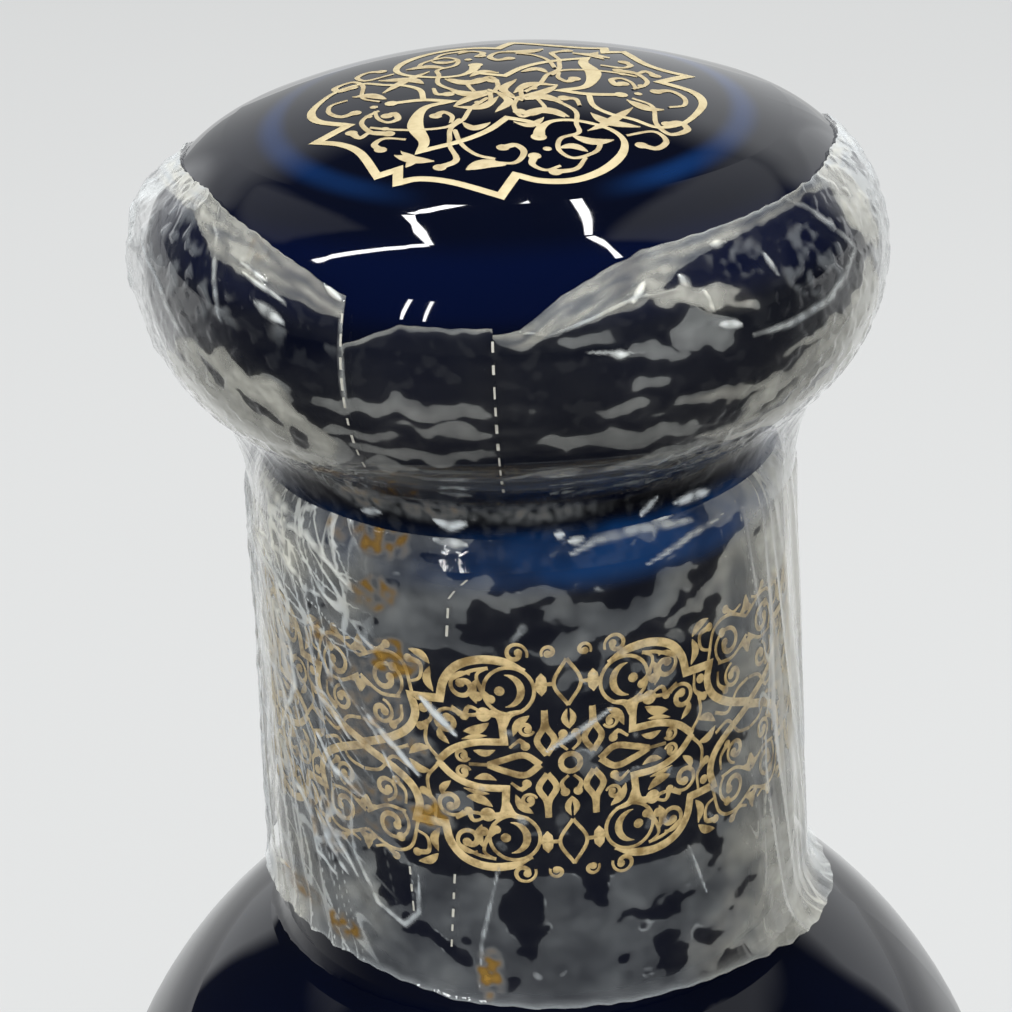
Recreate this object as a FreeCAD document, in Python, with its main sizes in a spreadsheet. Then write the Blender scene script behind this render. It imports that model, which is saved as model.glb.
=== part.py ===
"""Stoppered cobalt decanter bottle, still wearing its clear shrink seal.

Millimetres, +Z up.  The origin is the middle of the foot's bearing ring, and the
front of the bottle, where the seal's tear strip runs, faces -Y.
"""
import FreeCAD, Part
import math
import os
import re
import Sketcher

FULL_TURN = 360.0
FRONT = -90.0
FINDING_REACH = 0.05
PARTS_FOLDER = "parts"

# Driving sizes: alias, value in millimetres or degrees or a count, meaning
SIZES = [
    ("foot_radius", "31", "outside of the foot"),
    ("foot_ring_radius", "24", "inside of the ring that the bottle stands on"),
    ("foot_height", "6", "height of the upright side of the foot"),
    ("foot_round", "1.2", "rounding of the foot's edges"),
    ("punt_height", "5", "rise of the hollow under the base"),
    ("waist_radius", "28.2", "narrowest place above the foot"),
    ("waist_height", "12", "height of that narrowest place"),
    ("waist_fillet", "4", "fillet where foot and body meet"),
    ("body_radius", "41.5", "widest place of the body"),
    ("body_height", "108.5", "height of the widest place"),
    ("body_wall", "4", "glass thickness at the widest place"),
    ("floor_radius", "23", "inside radius at the floor"),
    ("floor_height", "13", "height of the inside floor"),
    ("floor_fillet", "7", "inside fillet round the floor"),
    ("neck_root_radius", "22.2", "neck where it leaves the shoulder"),
    ("neck_top_radius", "21", "neck under the lip"),
    ("neck_fillet", "3", "outside fillet of the neck's root"),
    ("lip_rise", "77.7", "mouth above the body's widest place"),
    ("lip_round", "3", "outside rounding of the lip"),
    ("mouth_round", "1.2", "inside rounding of the mouth"),
    ("bore_radius", "14", "straight bore of the neck"),
    ("bore_fillet", "5", "inside fillet where the bore opens out"),
    ("head_radius", "28.6", "widest place of the stopper's head"),
    ("head_rise", "14.4", "dome's top above the head's widest place"),
    ("head_depth", "12.5", "head's widest place above its underside"),
    ("head_edge_radius", "11", "rounding between dome and side"),
    ("head_stand", "2.8", "head's underside above the mouth"),
    ("collar_radius", "17.5", "collar under the head"),
    ("seat_gap", "0.3", "collar to lip"),
    ("peg_radius", "8", "glass peg inside the cork"),
    ("peg_round", "1", "rounding of the peg's end"),
    ("cork_length", "25", "cork sleeve below the collar"),
    ("cork_taper", "0.8", "cork's loss of radius towards its end"),
    ("cork_clearance", "0.12", "cork to bore, on the radius"),
    ("cork_chamfer", "1.2", "chamfer of the cork's lower edge"),
    ("glue_line", "0.05", "glue between cork and glass"),
    ("film_gap", "0.3", "shrink film to glass"),
    ("film_thickness", "0.25", "shrink film"),
    ("film_top_share", "0.86", "film's upper edge, as a share of the height of the head's rounding"),
    ("head_hem_radius", "20.5", "film's lower edge under the head"),
    ("head_strip_left", "-24.4", "left perforation on the head, degrees from the front"),
    ("head_strip_right", "-3.2", "right perforation on the head, degrees from the front"),
    ("strip_top_share", "0.363", "upper edge of the tear strip, as such a share"),
    ("neck_strip_left", "-29", "left perforation on the neck, degrees from the front"),
    ("neck_strip_right", "-16.5", "right perforation on the neck, degrees from the front"),
    ("perforation_gap", "0.15", "slit of a perforation line"),
    ("flap_reach", "20", "half width of the dip in the film's upper edge"),
    ("flap_outer_share", "0.784", "film's edge where the dip begins, as such a share"),
    ("left_flap_x", "-11.4", "inner corner of the left flap"),
    ("left_flap_share", "0.53", "height of that corner, as such a share"),
    ("right_flap_x", "0.3", "tip of the right flap"),
    ("right_flap_share", "0.363", "height of that tip, as such a share"),
    ("right_rise_x", "6.5", "bend of the right flap's edge"),
    ("right_rise_share", "0.657", "height of that bend, as such a share"),
    ("lip_wrap", "45", "film's reach over the lip's rounding, degrees"),
    ("hem_rise", "0.4", "film's lower edge above the neck's fillet"),
    ("hem_tilt", "5.5", "slant of the film's lower edge, degrees"),
    ("gilding_gap", "0.02", "gold to glass"),
    ("gilding_thickness", "0.1", "gold strap"),
    ("strap_width", "1.1", "width of the gold straps"),
    ("crown_share", "0.76", "crown medallion's reach to its pointed tips, as a share of the dome's"),
    ("crown_offset_share", "0.22", "medallion's middle towards the front, as a share of its reach"),
    ("crown_lobe_centre_share", "0.6", "middle of a round lobe, as such a share"),
    ("crown_lobe_radius_share", "0.33", "round lobe, as such a share"),
    ("crown_lobe_spread", "75", "a lobe's reach to each side, degrees"),
    ("crown_tip_hollow_share", "0.05", "hollow of the tip's sides, as such a share"),
    ("crown_inner_centre_share", "0.47", "middle of an inner lobe, as such a share"),
    ("crown_inner_radius_share", "0.315", "inner lobe, as such a share"),
    ("crown_inner_spread", "128", "an inner lobe's reach to each side, degrees"),
    ("band_drop", "28.2", "lower edge of the neck's gold band, below the mouth"),
    ("band_width", "18.5", "height of the band itself"),
    ("band_count", "4", "cartouches round the neck"),
    ("band_aim", "7.3", "middle of the first cartouche, degrees from the front"),
    ("band_crest_width", "6.7", "half width of a cartouche's straight crest"),
    ("band_crest_bulge", "0.9", "roundness of the crest's ends"),
    ("band_notch_width", "9.6", "half width at a cartouche's inner step"),
    ("band_step_width", "11.7", "half width at its outer step"),
    ("band_step_height", "5.3", "step above the cartouche's middle"),
    ("band_turn_width", "12.4", "half width where a cartouche's side turns out to its point"),
    ("band_turn_height", "1.7", "height of that turn above the middle"),
    ("band_side_hollow", "0.5", "hollow of a cartouche's side"),
    ("band_eye_width", "2.6", "half width of the pointed oval inside"),
]

ALIAS = r"\b(" + "|".join(alias for alias, _, _ in SIZES) + r")\b"

doc = FreeCAD.newDocument("decanter")
sheet = doc.addObject("Spreadsheet::Sheet", "Sizes")
for row, (alias, value, meaning) in enumerate(SIZES, start=1):
    sheet.set(f"A{row}", meaning)
    sheet.set(f"B{row}", value)
    sheet.setAlias(f"B{row}", alias)
doc.recompute()


def size(alias):
    """One driving size, as a number."""
    return float(sheet.get(alias))


def bound(expression):
    """The same expression with each alias spelt as a cell of the sheet."""
    return re.sub(ALIAS, r"Sizes.\1", expression)


def number(expression):
    """The present value of an expression in the sheet's aliases."""
    return float(sheet.evalExpression(bound(expression)))


# Heights and radii that several pieces share, in the sheet's aliases
LIP = "( body_height + lip_rise )"
HEAD_UNDER = f"( {LIP} + head_stand )"
HEAD_WIDEST = f"( {HEAD_UNDER} + head_depth )"
HEAD_TOP = f"( {HEAD_WIDEST} + head_rise )"
COLLAR_FOOT = f"{LIP} + seat_gap"
CORK_FOOT = f"{LIP} + seat_gap - cork_length"
INNER_RADIUS = "( body_radius - body_wall )"
EDGE_CENTRE = "( head_radius - head_edge_radius )"
UNDER_CENTRE = "( head_radius - head_depth )"
DOME = (f"( ( {EDGE_CENTRE} ^ 2 + head_rise ^ 2 - head_edge_radius ^ 2 )"
        " / ( 2 * ( head_rise - head_edge_radius ) ) )")
DOME_GROWTH = f"( {DOME} / ( {DOME} - head_edge_radius ) )"
DOME_REACH = f"( {EDGE_CENTRE} * {DOME_GROWTH} )"
EDGE_RISE = f"( ( {DOME} - head_rise ) * ( {DOME_GROWTH} - 1 ) )"
NECK_ROOT = "( body_height + sqrt( body_radius * body_radius - neck_root_radius * neck_root_radius ) )"
NECK_SLOPE = f"( ( neck_root_radius - neck_top_radius ) / ( {LIP} - {NECK_ROOT} ) )"
FILM_INSIDE = "film_gap"
FILM_OUTSIDE = "( film_gap + film_thickness )"


class Outline:
    """A closed sketch in an upright plane, its corners and arcs tied to the sheet."""

    def __init__(self, body, name, turn=None):
        self.sketch = body.newObject("Sketcher::SketchObject", name)
        planes = {plane.Role: plane for plane in body.Origin.OriginFeatures}
        self.sketch.AttachmentSupport = [(planes["XZ_Plane"], "")]
        self.sketch.MapMode = "FlatFace"
        if turn:
            upright = FreeCAD.Rotation(FreeCAD.Vector(0, 1, 0), 1.0)
            self.sketch.AttachmentOffset = FreeCAD.Placement(FreeCAD.Vector(), upright)
            self.sketch.setExpression("AttachmentOffset.Rotation.Angle", bound(turn))
        self.first = None
        self.last = None

    def tie(self, kind, expression, *place):
        """A size constraint whose value follows the sheet."""
        index = self.sketch.addConstraint(Sketcher.Constraint(kind, *place, number(expression)))
        self.sketch.setExpression(f"Constraints[{index}]", bound(expression))

    def pin(self, geometry, point, across, up):
        """Holds one point of the sketch at a radius and a height; None leaves it free."""
        if across == "0":
            self.sketch.addConstraint(Sketcher.Constraint("PointOnObject", geometry, point, -2))
        elif across:
            self.tie("DistanceX", across, -1, 1, geometry, point)
        if up == "0":
            self.sketch.addConstraint(Sketcher.Constraint("PointOnObject", geometry, point, -1))
        elif up:
            self.tie("DistanceY", up, -1, 1, geometry, point)

    def chain(self, geometry, start, end):
        """Joins a new piece of the outline to the one before it."""
        if self.last is None:
            self.first = (geometry, start)
        else:
            self.sketch.addConstraint(Sketcher.Constraint("Coincident", *self.last, geometry, start))
        self.last = (geometry, end)

    def line(self, start, end, pins=None):
        """A straight piece; unless pins says otherwise, its end is held where it is drawn."""
        ends = [FreeCAD.Vector(number(x), number(y), 0) for x, y in (start, end)]
        index = self.sketch.addGeometry(Part.LineSegment(*ends))
        if pins is None:
            pins = {"end": end} if self.last else {"start": start, "end": end}
        self.chain(index, 1, 2)
        points = {"start": 1, "end": 2}
        for name, (across, up) in pins.items():
            self.pin(index, points[name], across, up)

    def arc(self, centre, start, end, clockwise, pins):
        """A round piece about a centre; pins says which of its points are held where."""
        middle = FreeCAD.Vector(number(centre[0]), number(centre[1]), 0)
        reach = [FreeCAD.Vector(number(x), number(y), 0) - middle for x, y in (start, end)]
        angles = [math.atan2(arm.y, arm.x) for arm in reach]
        first, last = (angles[1], angles[0]) if clockwise else (angles[0], angles[1])
        circle = Part.Circle(middle, FreeCAD.Vector(0, 0, 1), reach[0].Length)
        index = self.sketch.addGeometry(Part.ArcOfCircle(circle, first, last))
        ends = (2, 1) if clockwise else (1, 2)
        self.chain(index, *ends)
        points = {"start": ends[0], "end": ends[1], "centre": 3}
        for name, (across, up) in pins.items():
            self.pin(index, points[name], across, up)

    def close(self):
        """Joins the last piece to the first and makes sure that nothing is left loose."""
        self.sketch.addConstraint(Sketcher.Constraint("Coincident", *self.last, *self.first))
        doc.recompute()
        if not self.sketch.FullyConstrained:
            raise RuntimeError(f"{self.sketch.Label}: the sketch has loose ends")
        return self.sketch


def new_body(label):
    body = doc.addObject("PartDesign::Body", label)
    body.Label = label
    return body


def turned(body, sketch, angle=None):
    """Revolves a sketch about the bottle's axis, all round or through an angle."""
    feature = body.newObject("PartDesign::Revolution", f"{body.Label}_turned")
    feature.Profile = sketch
    feature.ReferenceAxis = (sketch, ["V_Axis"])
    feature.Angle = FULL_TURN
    if angle:
        feature.setExpression("Angle", bound(angle))
    doc.recompute()
    return feature


def rings(feature, places):
    """Names of the round edges of a turned solid at the given radii and heights."""
    names = []
    for radius, height in places:
        wanted = (number(radius), number(height))
        for index, edge in enumerate(feature.Shape.Edges, start=1):
            if edge.Degenerated or not isinstance(edge.Curve, Part.Circle):
                continue
            found = (edge.Curve.Radius, edge.Curve.Center.z)
            if math.dist(found, wanted) < FINDING_REACH:
                names.append(f"Edge{index}")
    return names


def rounded(body, feature, places, radius):
    """Fillets the round edges at the given places."""
    fillet = body.newObject("PartDesign::Fillet", f"{body.Label}_round")
    fillet.Base = (feature, rings(feature, places))
    fillet.setExpression("Radius", bound(radius))
    doc.recompute()
    return fillet


def trimmed(body, sketch, front_only):
    """Cuts a sketch away, either through the front half or right through."""
    before = body.Shape.Volume
    pocket = body.newObject("PartDesign::Pocket", f"{body.Label}_trim")
    pocket.Profile = sketch
    if front_only:
        pocket.Reversed = True
        pocket.setExpression("Length", bound("2 * head_radius"))
    else:
        pocket.SideType = "Symmetric"
        pocket.setExpression("Length", bound("4 * neck_root_radius"))
    doc.recompute()
    if not 0 < pocket.Shape.Volume < before:
        raise RuntimeError(f"{body.Label}: the trim cut nothing")


def make_bottle():
    """Foot, tapered body, round shoulder, neck and bore, as one hollow of glass."""
    body = new_body("bottle")
    outline = Outline(body, "bottle_profile")
    widest = ("body_radius", "body_height")
    inner_widest = (INNER_RADIUS, "body_height")
    waist = ("waist_radius", "waist_height")
    floor = ("floor_radius", "floor_height")
    root = ("neck_root_radius", NECK_ROOT)
    bore_end = ("bore_radius", f"body_height + sqrt( {INNER_RADIUS} ^ 2 - bore_radius ^ 2 )")
    mouth = ("bore_radius", LIP)
    brim = ("neck_top_radius", LIP)

    def flank(radius, rise, foot):
        """Radius of the arc that leaves the widest place upright and ends at a foot."""
        step = f"( {radius} - {foot} )"
        return f"( ( {step} ^ 2 + ( {rise} ) ^ 2 ) / ( 2 * {step} ) )"

    outer = flank("body_radius", "body_height - waist_height", "waist_radius")
    inner = flank(INNER_RADIUS, "body_height - floor_height", "floor_radius")
    outline.line(("0", "floor_height"), ("0", "punt_height"))
    outline.line(("0", "punt_height"), ("foot_ring_radius", "0"))
    outline.line(("foot_ring_radius", "0"), ("foot_radius", "0"))
    outline.line(("foot_radius", "0"), ("foot_radius", "foot_height"))
    outline.line(("foot_radius", "foot_height"), waist)
    outline.arc((f"body_radius - {outer}", "body_height"), waist, widest, False,
                {"centre": (None, "body_height"), "end": widest})
    outline.arc(("0", "body_height"), widest, root, False,
                {"centre": ("0", "body_height"), "end": ("neck_root_radius", None)})
    outline.line(root, brim)
    outline.line(brim, mouth)
    outline.line(mouth, bore_end, pins={})
    outline.arc(("0", "body_height"), bore_end, inner_widest, True,
                {"centre": ("0", "body_height"), "start": ("bore_radius", None), "end": inner_widest})
    outline.arc((f"{INNER_RADIUS} - {inner}", "body_height"), inner_widest, floor, True,
                {"centre": (None, "body_height"), "end": floor})
    outline.line(floor, ("0", "floor_height"), pins={})
    glass = turned(body, outline.close())
    glass = rounded(body, glass, [root], "neck_fillet")
    glass = rounded(body, glass, [brim], "lip_round")
    glass = rounded(body, glass, [mouth], "mouth_round")
    glass = rounded(body, glass, [bore_end], "bore_fillet")
    glass = rounded(body, glass, [floor], "floor_fillet")
    glass = rounded(body, glass, [waist], "waist_fillet")
    foot_edges = [("foot_radius", "0"), ("foot_radius", "foot_height"), ("foot_ring_radius", "0")]
    rounded(body, glass, foot_edges, "foot_round")
    return body


def make_stopper_head():
    """Mushroom dome with a collar that seats on the lip and a peg for the cork."""
    body = new_body("stopper_head")
    outline = Outline(body, "stopper_profile")
    dome_centre = ("0", f"{HEAD_TOP} - {DOME}")
    meeting = (DOME_REACH, f"{HEAD_WIDEST} + {EDGE_RISE}")
    top = ("0", HEAD_TOP)
    widest = ("head_radius", HEAD_WIDEST)
    under = (UNDER_CENTRE, HEAD_UNDER)
    peg_foot = ("peg_radius", CORK_FOOT)
    outline.line(("0", CORK_FOOT), peg_foot)
    outline.line(peg_foot, ("peg_radius", COLLAR_FOOT))
    outline.line(("peg_radius", COLLAR_FOOT), ("collar_radius", COLLAR_FOOT))
    outline.line(("collar_radius", COLLAR_FOOT), ("collar_radius", HEAD_UNDER))
    outline.line(("collar_radius", HEAD_UNDER), under)
    outline.arc((UNDER_CENTRE, HEAD_WIDEST), under, widest, False,
                {"centre": (UNDER_CENTRE, HEAD_WIDEST), "end": (None, HEAD_WIDEST)})
    outline.arc((EDGE_CENTRE, HEAD_WIDEST), widest, meeting, False,
                {"centre": (EDGE_CENTRE, HEAD_WIDEST), "end": (DOME_REACH, None)})
    outline.arc(dome_centre, meeting, top, False, {"centre": ("0", None), "end": top})
    outline.line(top, ("0", CORK_FOOT), pins={})
    glass = turned(body, outline.close())
    rounded(body, glass, [peg_foot], "peg_round")
    return body


def make_stopper_cork():
    """Bored cork sleeve, glued on the peg under the collar."""
    body = new_body("stopper_cork")
    outline = Outline(body, "cork_profile")
    inside = "peg_radius + glue_line"
    top = f"{COLLAR_FOOT} - glue_line"
    foot = CORK_FOOT
    wide = "bore_radius - cork_clearance"
    narrow = f"{wide} - cork_taper"
    outline.line((inside, top), (inside, foot))
    outline.line((inside, foot), (f"{narrow} - cork_chamfer", foot))
    outline.line((f"{narrow} - cork_chamfer", foot), (narrow, f"{foot} + cork_chamfer"))
    outline.line((narrow, f"{foot} + cork_chamfer"), (wide, top))
    outline.line((wide, top), (inside, top), pins={})
    turned(body, outline.close())
    return body


def head_film_outline(body, name, turn, top):
    """Section of the film round the head, from its upper edge to its hem."""
    outline = Outline(body, name, turn)

    def on_edge(offset):
        """Place on the film's edge arc at the upper edge's height."""
        reach = f"( head_edge_radius + {offset} )"
        return (f"{EDGE_CENTRE} + sqrt( {reach} ^ 2 - ( {top} - {HEAD_WIDEST} ) ^ 2 )", top)

    def on_under(offset):
        """Place on the film's under arc at the hem's radius."""
        reach = f"( head_depth + {offset} )"
        run = f"( head_hem_radius - {UNDER_CENTRE} )"
        return ("head_hem_radius", f"{HEAD_WIDEST} - sqrt( {reach} ^ 2 - {run} ^ 2 )")

    edge = (EDGE_CENTRE, HEAD_WIDEST)
    under = (UNDER_CENTRE, HEAD_WIDEST)
    inside = (f"head_radius + {FILM_INSIDE}", HEAD_WIDEST)
    outside = (f"head_radius + {FILM_OUTSIDE}", HEAD_WIDEST)
    outline.line(on_edge(FILM_INSIDE), on_edge(FILM_OUTSIDE), pins={"start": (None, top), "end": (None, top)})
    outline.arc(edge, on_edge(FILM_OUTSIDE), outside, True, {"centre": edge, "end": outside})
    outline.arc(under, outside, on_under(FILM_OUTSIDE), True,
                {"centre": under, "end": ("head_hem_radius", None)})
    outline.line(on_under(FILM_OUTSIDE), on_under(FILM_INSIDE), pins={})
    outline.arc(under, on_under(FILM_INSIDE), inside, False,
                {"start": ("head_hem_radius", None), "centre": under, "end": inside})
    outline.arc(edge, inside, on_edge(FILM_INSIDE), False, {"centre": edge})
    return outline.close()


def up_the_edge(share):
    """Height at a share of the way up the head's rounding."""
    return f"( {HEAD_WIDEST} + {share} * {EDGE_RISE} )"


def slit(radius):
    """Angle of a perforation's slit at a radius."""
    return f"( perforation_gap / {radius} * 180 / pi )"


def make_head_films():
    """Film round the head, all but the tear strip, and the tear strip itself."""
    film = new_body("head_film")
    start = f"{FRONT} + head_strip_right + {slit('head_radius')}"
    sweep = f"{FULL_TURN} - ( head_strip_right - head_strip_left ) - 2 * {slit('head_radius')}"
    turned(film, head_film_outline(film, "head_film_profile", start, up_the_edge("film_top_share")), sweep)
    dip = Outline(film, "head_film_dip")
    corners = [
        ("0 - flap_reach", up_the_edge("flap_outer_share")),
        ("left_flap_x", up_the_edge("left_flap_share")),
        ("left_flap_x", up_the_edge("right_flap_share")),
        ("right_flap_x", up_the_edge("right_flap_share")),
        ("right_rise_x", up_the_edge("right_rise_share")),
        ("flap_reach", up_the_edge("flap_outer_share")),
        ("flap_reach", HEAD_TOP),
        ("0 - flap_reach", HEAD_TOP),
    ]
    for start_corner, end_corner in zip(corners, corners[1:]):
        dip.line(start_corner, end_corner)
    dip.line(corners[-1], corners[0], pins={})
    trimmed(film, dip.close(), front_only=True)
    strip = new_body("head_tear_strip")
    turned(strip, head_film_outline(strip, "head_strip_profile",
                                    f"{FRONT} + head_strip_left", up_the_edge("strip_top_share")),
           "head_strip_right - head_strip_left")
    return film, strip


def neck_film_outline(body, name, turn, hem):
    """Section of the film down the neck, from over the lip to its hem."""
    outline = Outline(body, name, turn)
    shoulder = f"( {LIP} - lip_round )"
    over = ("neck_top_radius - lip_round", shoulder)

    def beside(height, offset):
        """Place on the film beside the tapered neck."""
        return (f"neck_top_radius + ( {LIP} - {height} ) * {NECK_SLOPE} + {offset}", height)

    def over_lip(offset):
        """Place where the film ends, part of the way over the lip."""
        reach = f"( lip_round * {NECK_SLOPE} + lip_round + {offset} )"
        return (f"neck_top_radius - lip_round + {reach} * cos( lip_wrap )",
                f"{shoulder} + {reach} * sin( lip_wrap )")

    outline.line(beside(hem, FILM_INSIDE), beside(hem, FILM_OUTSIDE))
    outline.line(beside(hem, FILM_OUTSIDE), beside(shoulder, FILM_OUTSIDE))
    outline.arc(over, beside(shoulder, FILM_OUTSIDE), over_lip(FILM_OUTSIDE), False,
                {"centre": over, "end": (over_lip(FILM_OUTSIDE)[0], None)})
    outline.line(over_lip(FILM_OUTSIDE), over_lip(FILM_INSIDE), pins={})
    outline.arc(over, over_lip(FILM_INSIDE), beside(shoulder, FILM_INSIDE), True,
                {"centre": over, "start": (over_lip(FILM_INSIDE)[0], None),
                 "end": beside(shoulder, FILM_INSIDE)})
    outline.line(beside(shoulder, FILM_INSIDE), beside(hem, FILM_INSIDE), pins={})
    return outline.close()


def make_neck_films():
    """Film down the neck, all but the tear strip, and the tear strip itself."""
    hem = f"( {NECK_ROOT} + neck_fillet + hem_rise )"
    film = new_body("neck_film")
    start = f"{FRONT} + neck_strip_right + {slit('neck_root_radius')}"
    sweep = f"{FULL_TURN} - ( neck_strip_right - neck_strip_left ) - 2 * {slit('neck_root_radius')}"
    turned(film, neck_film_outline(film, "neck_film_profile", start, hem), sweep)
    slant = Outline(film, "neck_film_hem")
    reach = "( 2 * neck_root_radius )"
    low = ("neck_root_radius", hem)
    high = (f"0 - {reach}", f"{hem} + ( neck_root_radius + {reach} ) * tan( hem_tilt )")
    below = (f"0 - {reach}", f"{hem} - neck_fillet")
    slant.line(low, high)
    slant.line(high, below)
    slant.line(below, ("neck_root_radius", f"{hem} - neck_fillet"))
    slant.line(("neck_root_radius", f"{hem} - neck_fillet"), low, pins={})
    trimmed(film, slant.close(), front_only=False)
    strip = new_body("neck_tear_strip")
    middle = "( ( neck_strip_left + neck_strip_right ) / 2 )"
    strip_hem = (f"( {hem} + neck_root_radius * ( 1 - sin( {middle} ) ) * tan( hem_tilt ) )")
    turned(strip, neck_film_outline(strip, "neck_strip_profile",
                                    f"{FRONT} + neck_strip_left", strip_hem),
           "neck_strip_right - neck_strip_left")
    return film, strip


def polar(radius, degrees):
    """Flat place at a radius and an angle."""
    angle = math.radians(degrees)
    return FreeCAD.Vector(radius * math.cos(angle), radius * math.sin(angle), 0)


def bowed(start, end, bulge):
    """Arc that stands off its chord by a bulge, to the left of the way from start to end."""
    chord = end - start
    aside = FreeCAD.Vector(-chord.y, chord.x, 0).normalize()
    return Part.Arc(start, (start + end) / 2 + aside * bulge, end).toShape()


def strap(edges):
    """Flat ribbon of the strap's width that follows a closed line."""
    line = Part.Wire(Part.__sortEdges__(edges))
    half = size("strap_width") / 2
    sides = [line.makeOffset2D(half), line.makeOffset2D(-half)]
    return Part.makeFace(sides, "Part::FaceMakerBullseye")


def lobed_line(centre, radius, spread, turn, tip=None, hollow=0.0):
    """Closed line of four round lobes, joined by pointed tips or by short straights."""
    edges = []
    quarter = FULL_TURN / 4
    for step in range(4):
        aim = turn + step * quarter
        middle = polar(centre, aim)
        start, end = [middle + polar(radius, aim + side * spread) for side in (-1, 1)]
        edges.append(Part.Arc(start, middle + polar(radius, aim), end).toShape())
        following = polar(centre, aim + quarter) + polar(radius, aim + quarter - spread)
        if tip is None:
            edges.append(Part.LineSegment(end, following).toShape())
            continue
        point = polar(tip, aim + quarter / 2)
        edges.append(bowed(end, point, hollow))
        edges.append(bowed(point, following, hollow))
    return edges


def make_crown_gilding():
    """Gold medallion on the dome: a lobed and pointed strap laced with a four-lobed one."""
    reach = number(f"crown_share * {DOME_REACH}")
    outer = strap(lobed_line(reach * size("crown_lobe_centre_share"),
                             reach * size("crown_lobe_radius_share"),
                             size("crown_lobe_spread"), FULL_TURN / 8,
                             reach, reach * size("crown_tip_hollow_share")))
    inner = strap(lobed_line(reach * size("crown_inner_centre_share"),
                             reach * size("crown_inner_radius_share"),
                             size("crown_inner_spread"), 0.0))
    dome = number(DOME)
    middle = FreeCAD.Vector(0, 0, number(HEAD_TOP) - dome)
    away = FreeCAD.Vector(0, -1, 0)
    under = dome + size("gilding_gap")
    prism = outer.fuse(inner).removeSplitter().extrude(FreeCAD.Vector(0, 0, dome))
    prism.translate(middle + FreeCAD.Vector(0, -reach * size("crown_offset_share"), dome / 2))
    gold = prism.common(Part.makeSphere(under + size("gilding_thickness"), middle, away))
    feature = doc.addObject("Part::Feature", "crown_gilding")
    feature.Label = "crown_gilding"
    feature.Shape = gold.cut(Part.makeSphere(under, middle, away))
    return feature


def cartouche_line(half_width, half_height):
    """Closed stepped outline of one cartouche, pointed where it meets its neighbours."""
    middle = FreeCAD.Vector()
    across = FreeCAD.Vector(1, 0, 0)
    up = FreeCAD.Vector(0, 1, 0)
    crest = across * size("band_crest_width") + up * half_height
    notch = across * size("band_notch_width") + up * size("band_step_height")
    step = across * size("band_step_width") + up * size("band_step_height")
    turn = across * size("band_turn_width") + up * size("band_turn_height")
    side = [
        bowed(crest, notch, size("band_crest_bulge")),
        Part.LineSegment(notch, step).toShape(),
        bowed(step, turn, -size("band_side_hollow")),
        Part.LineSegment(turn, across * half_width).toShape(),
    ]
    top = Part.LineSegment(up * half_height - across * crest.x, crest).toShape()
    upper = [top] + side + [edge.mirror(middle, across) for edge in side]
    return upper + [edge.mirror(middle, up) for edge in upper]


def eye_line(half_width, half_height):
    """Closed pointed oval."""
    top, bottom = FreeCAD.Vector(0, half_height, 0), FreeCAD.Vector(0, -half_height, 0)
    sides = [FreeCAD.Vector(half_width * side, 0, 0) for side in (1, -1)]
    return [Part.Arc(top, middle, bottom).toShape() for middle in sides]


def make_neck_gilding():
    """Gold band round the neck: stepped cartouches that touch, each with a pointed oval."""
    count = int(size("band_count"))
    half_height = (size("band_width") - size("strap_width")) / 2
    low = number(f"{LIP} - band_drop")
    foot_radius = number(f"neck_top_radius + band_drop * {NECK_SLOPE}")
    top_radius = number(f"neck_top_radius + ( band_drop - band_width ) * {NECK_SLOPE}")
    half_width = (foot_radius + top_radius) / 2 * math.sin(math.pi / count)
    cartouche = strap(cartouche_line(half_width, half_height))
    eye = strap(eye_line(size("band_eye_width"), half_height))
    prism = cartouche.fuse(eye).removeSplitter().extrude(FreeCAD.Vector(0, 0, foot_radius))
    prism.rotate(FreeCAD.Vector(), FreeCAD.Vector(1, 0, 0), 90)
    prism.translate(FreeCAD.Vector(0, -foot_radius / 2, low + size("band_width") / 2))
    bond = size("gilding_gap")
    skin = bond + size("gilding_thickness")
    base = FreeCAD.Vector(0, 0, low)
    gold = prism.common(Part.makeCone(foot_radius + skin, top_radius + skin, size("band_width"), base))
    gold = gold.cut(Part.makeCone(foot_radius + bond, top_radius + bond, size("band_width"), base))
    copies = []
    for step in range(count):
        copy = gold.copy()
        copy.rotate(FreeCAD.Vector(), FreeCAD.Vector(0, 0, 1), size("band_aim") + step * FULL_TURN / count)
        copies.append(copy)
    feature = doc.addObject("Part::Feature", "neck_gilding")
    feature.Label = "neck_gilding"
    feature.Shape = copies[0].fuse(copies[1:]).removeSplitter()
    return feature


pieces = [make_bottle(), make_stopper_head(), make_stopper_cork()]
pieces.extend(make_head_films())
pieces.extend(make_neck_films())
pieces.extend([make_crown_gilding(), make_neck_gilding()])
doc.recompute()

for item in doc.Objects:
    if {"Invalid", "Error"} & set(item.State):
        raise RuntimeError(f"{item.Label}: {item.State}")
for piece in pieces:
    if piece.Shape.isNull() or not piece.Shape.isValid() or not piece.Shape.Solids:
        raise RuntimeError(f"{piece.Label}: no valid solid")

os.makedirs(PARTS_FOLDER, exist_ok=True)
for piece in pieces:
    piece.Shape.exportStep(os.path.join(PARTS_FOLDER, f"{piece.Label}.step"))
    box = piece.Shape.BoundBox
    print(f"{piece.Label}: {len(piece.Shape.Solids)} solid, {piece.Shape.Volume:.1f} mm3, "
          f"x {box.XMin:.2f} to {box.XMax:.2f}, y {box.YMin:.2f} to {box.YMax:.2f}, "
          f"z {box.ZMin:.2f} to {box.ZMax:.2f}")
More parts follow.
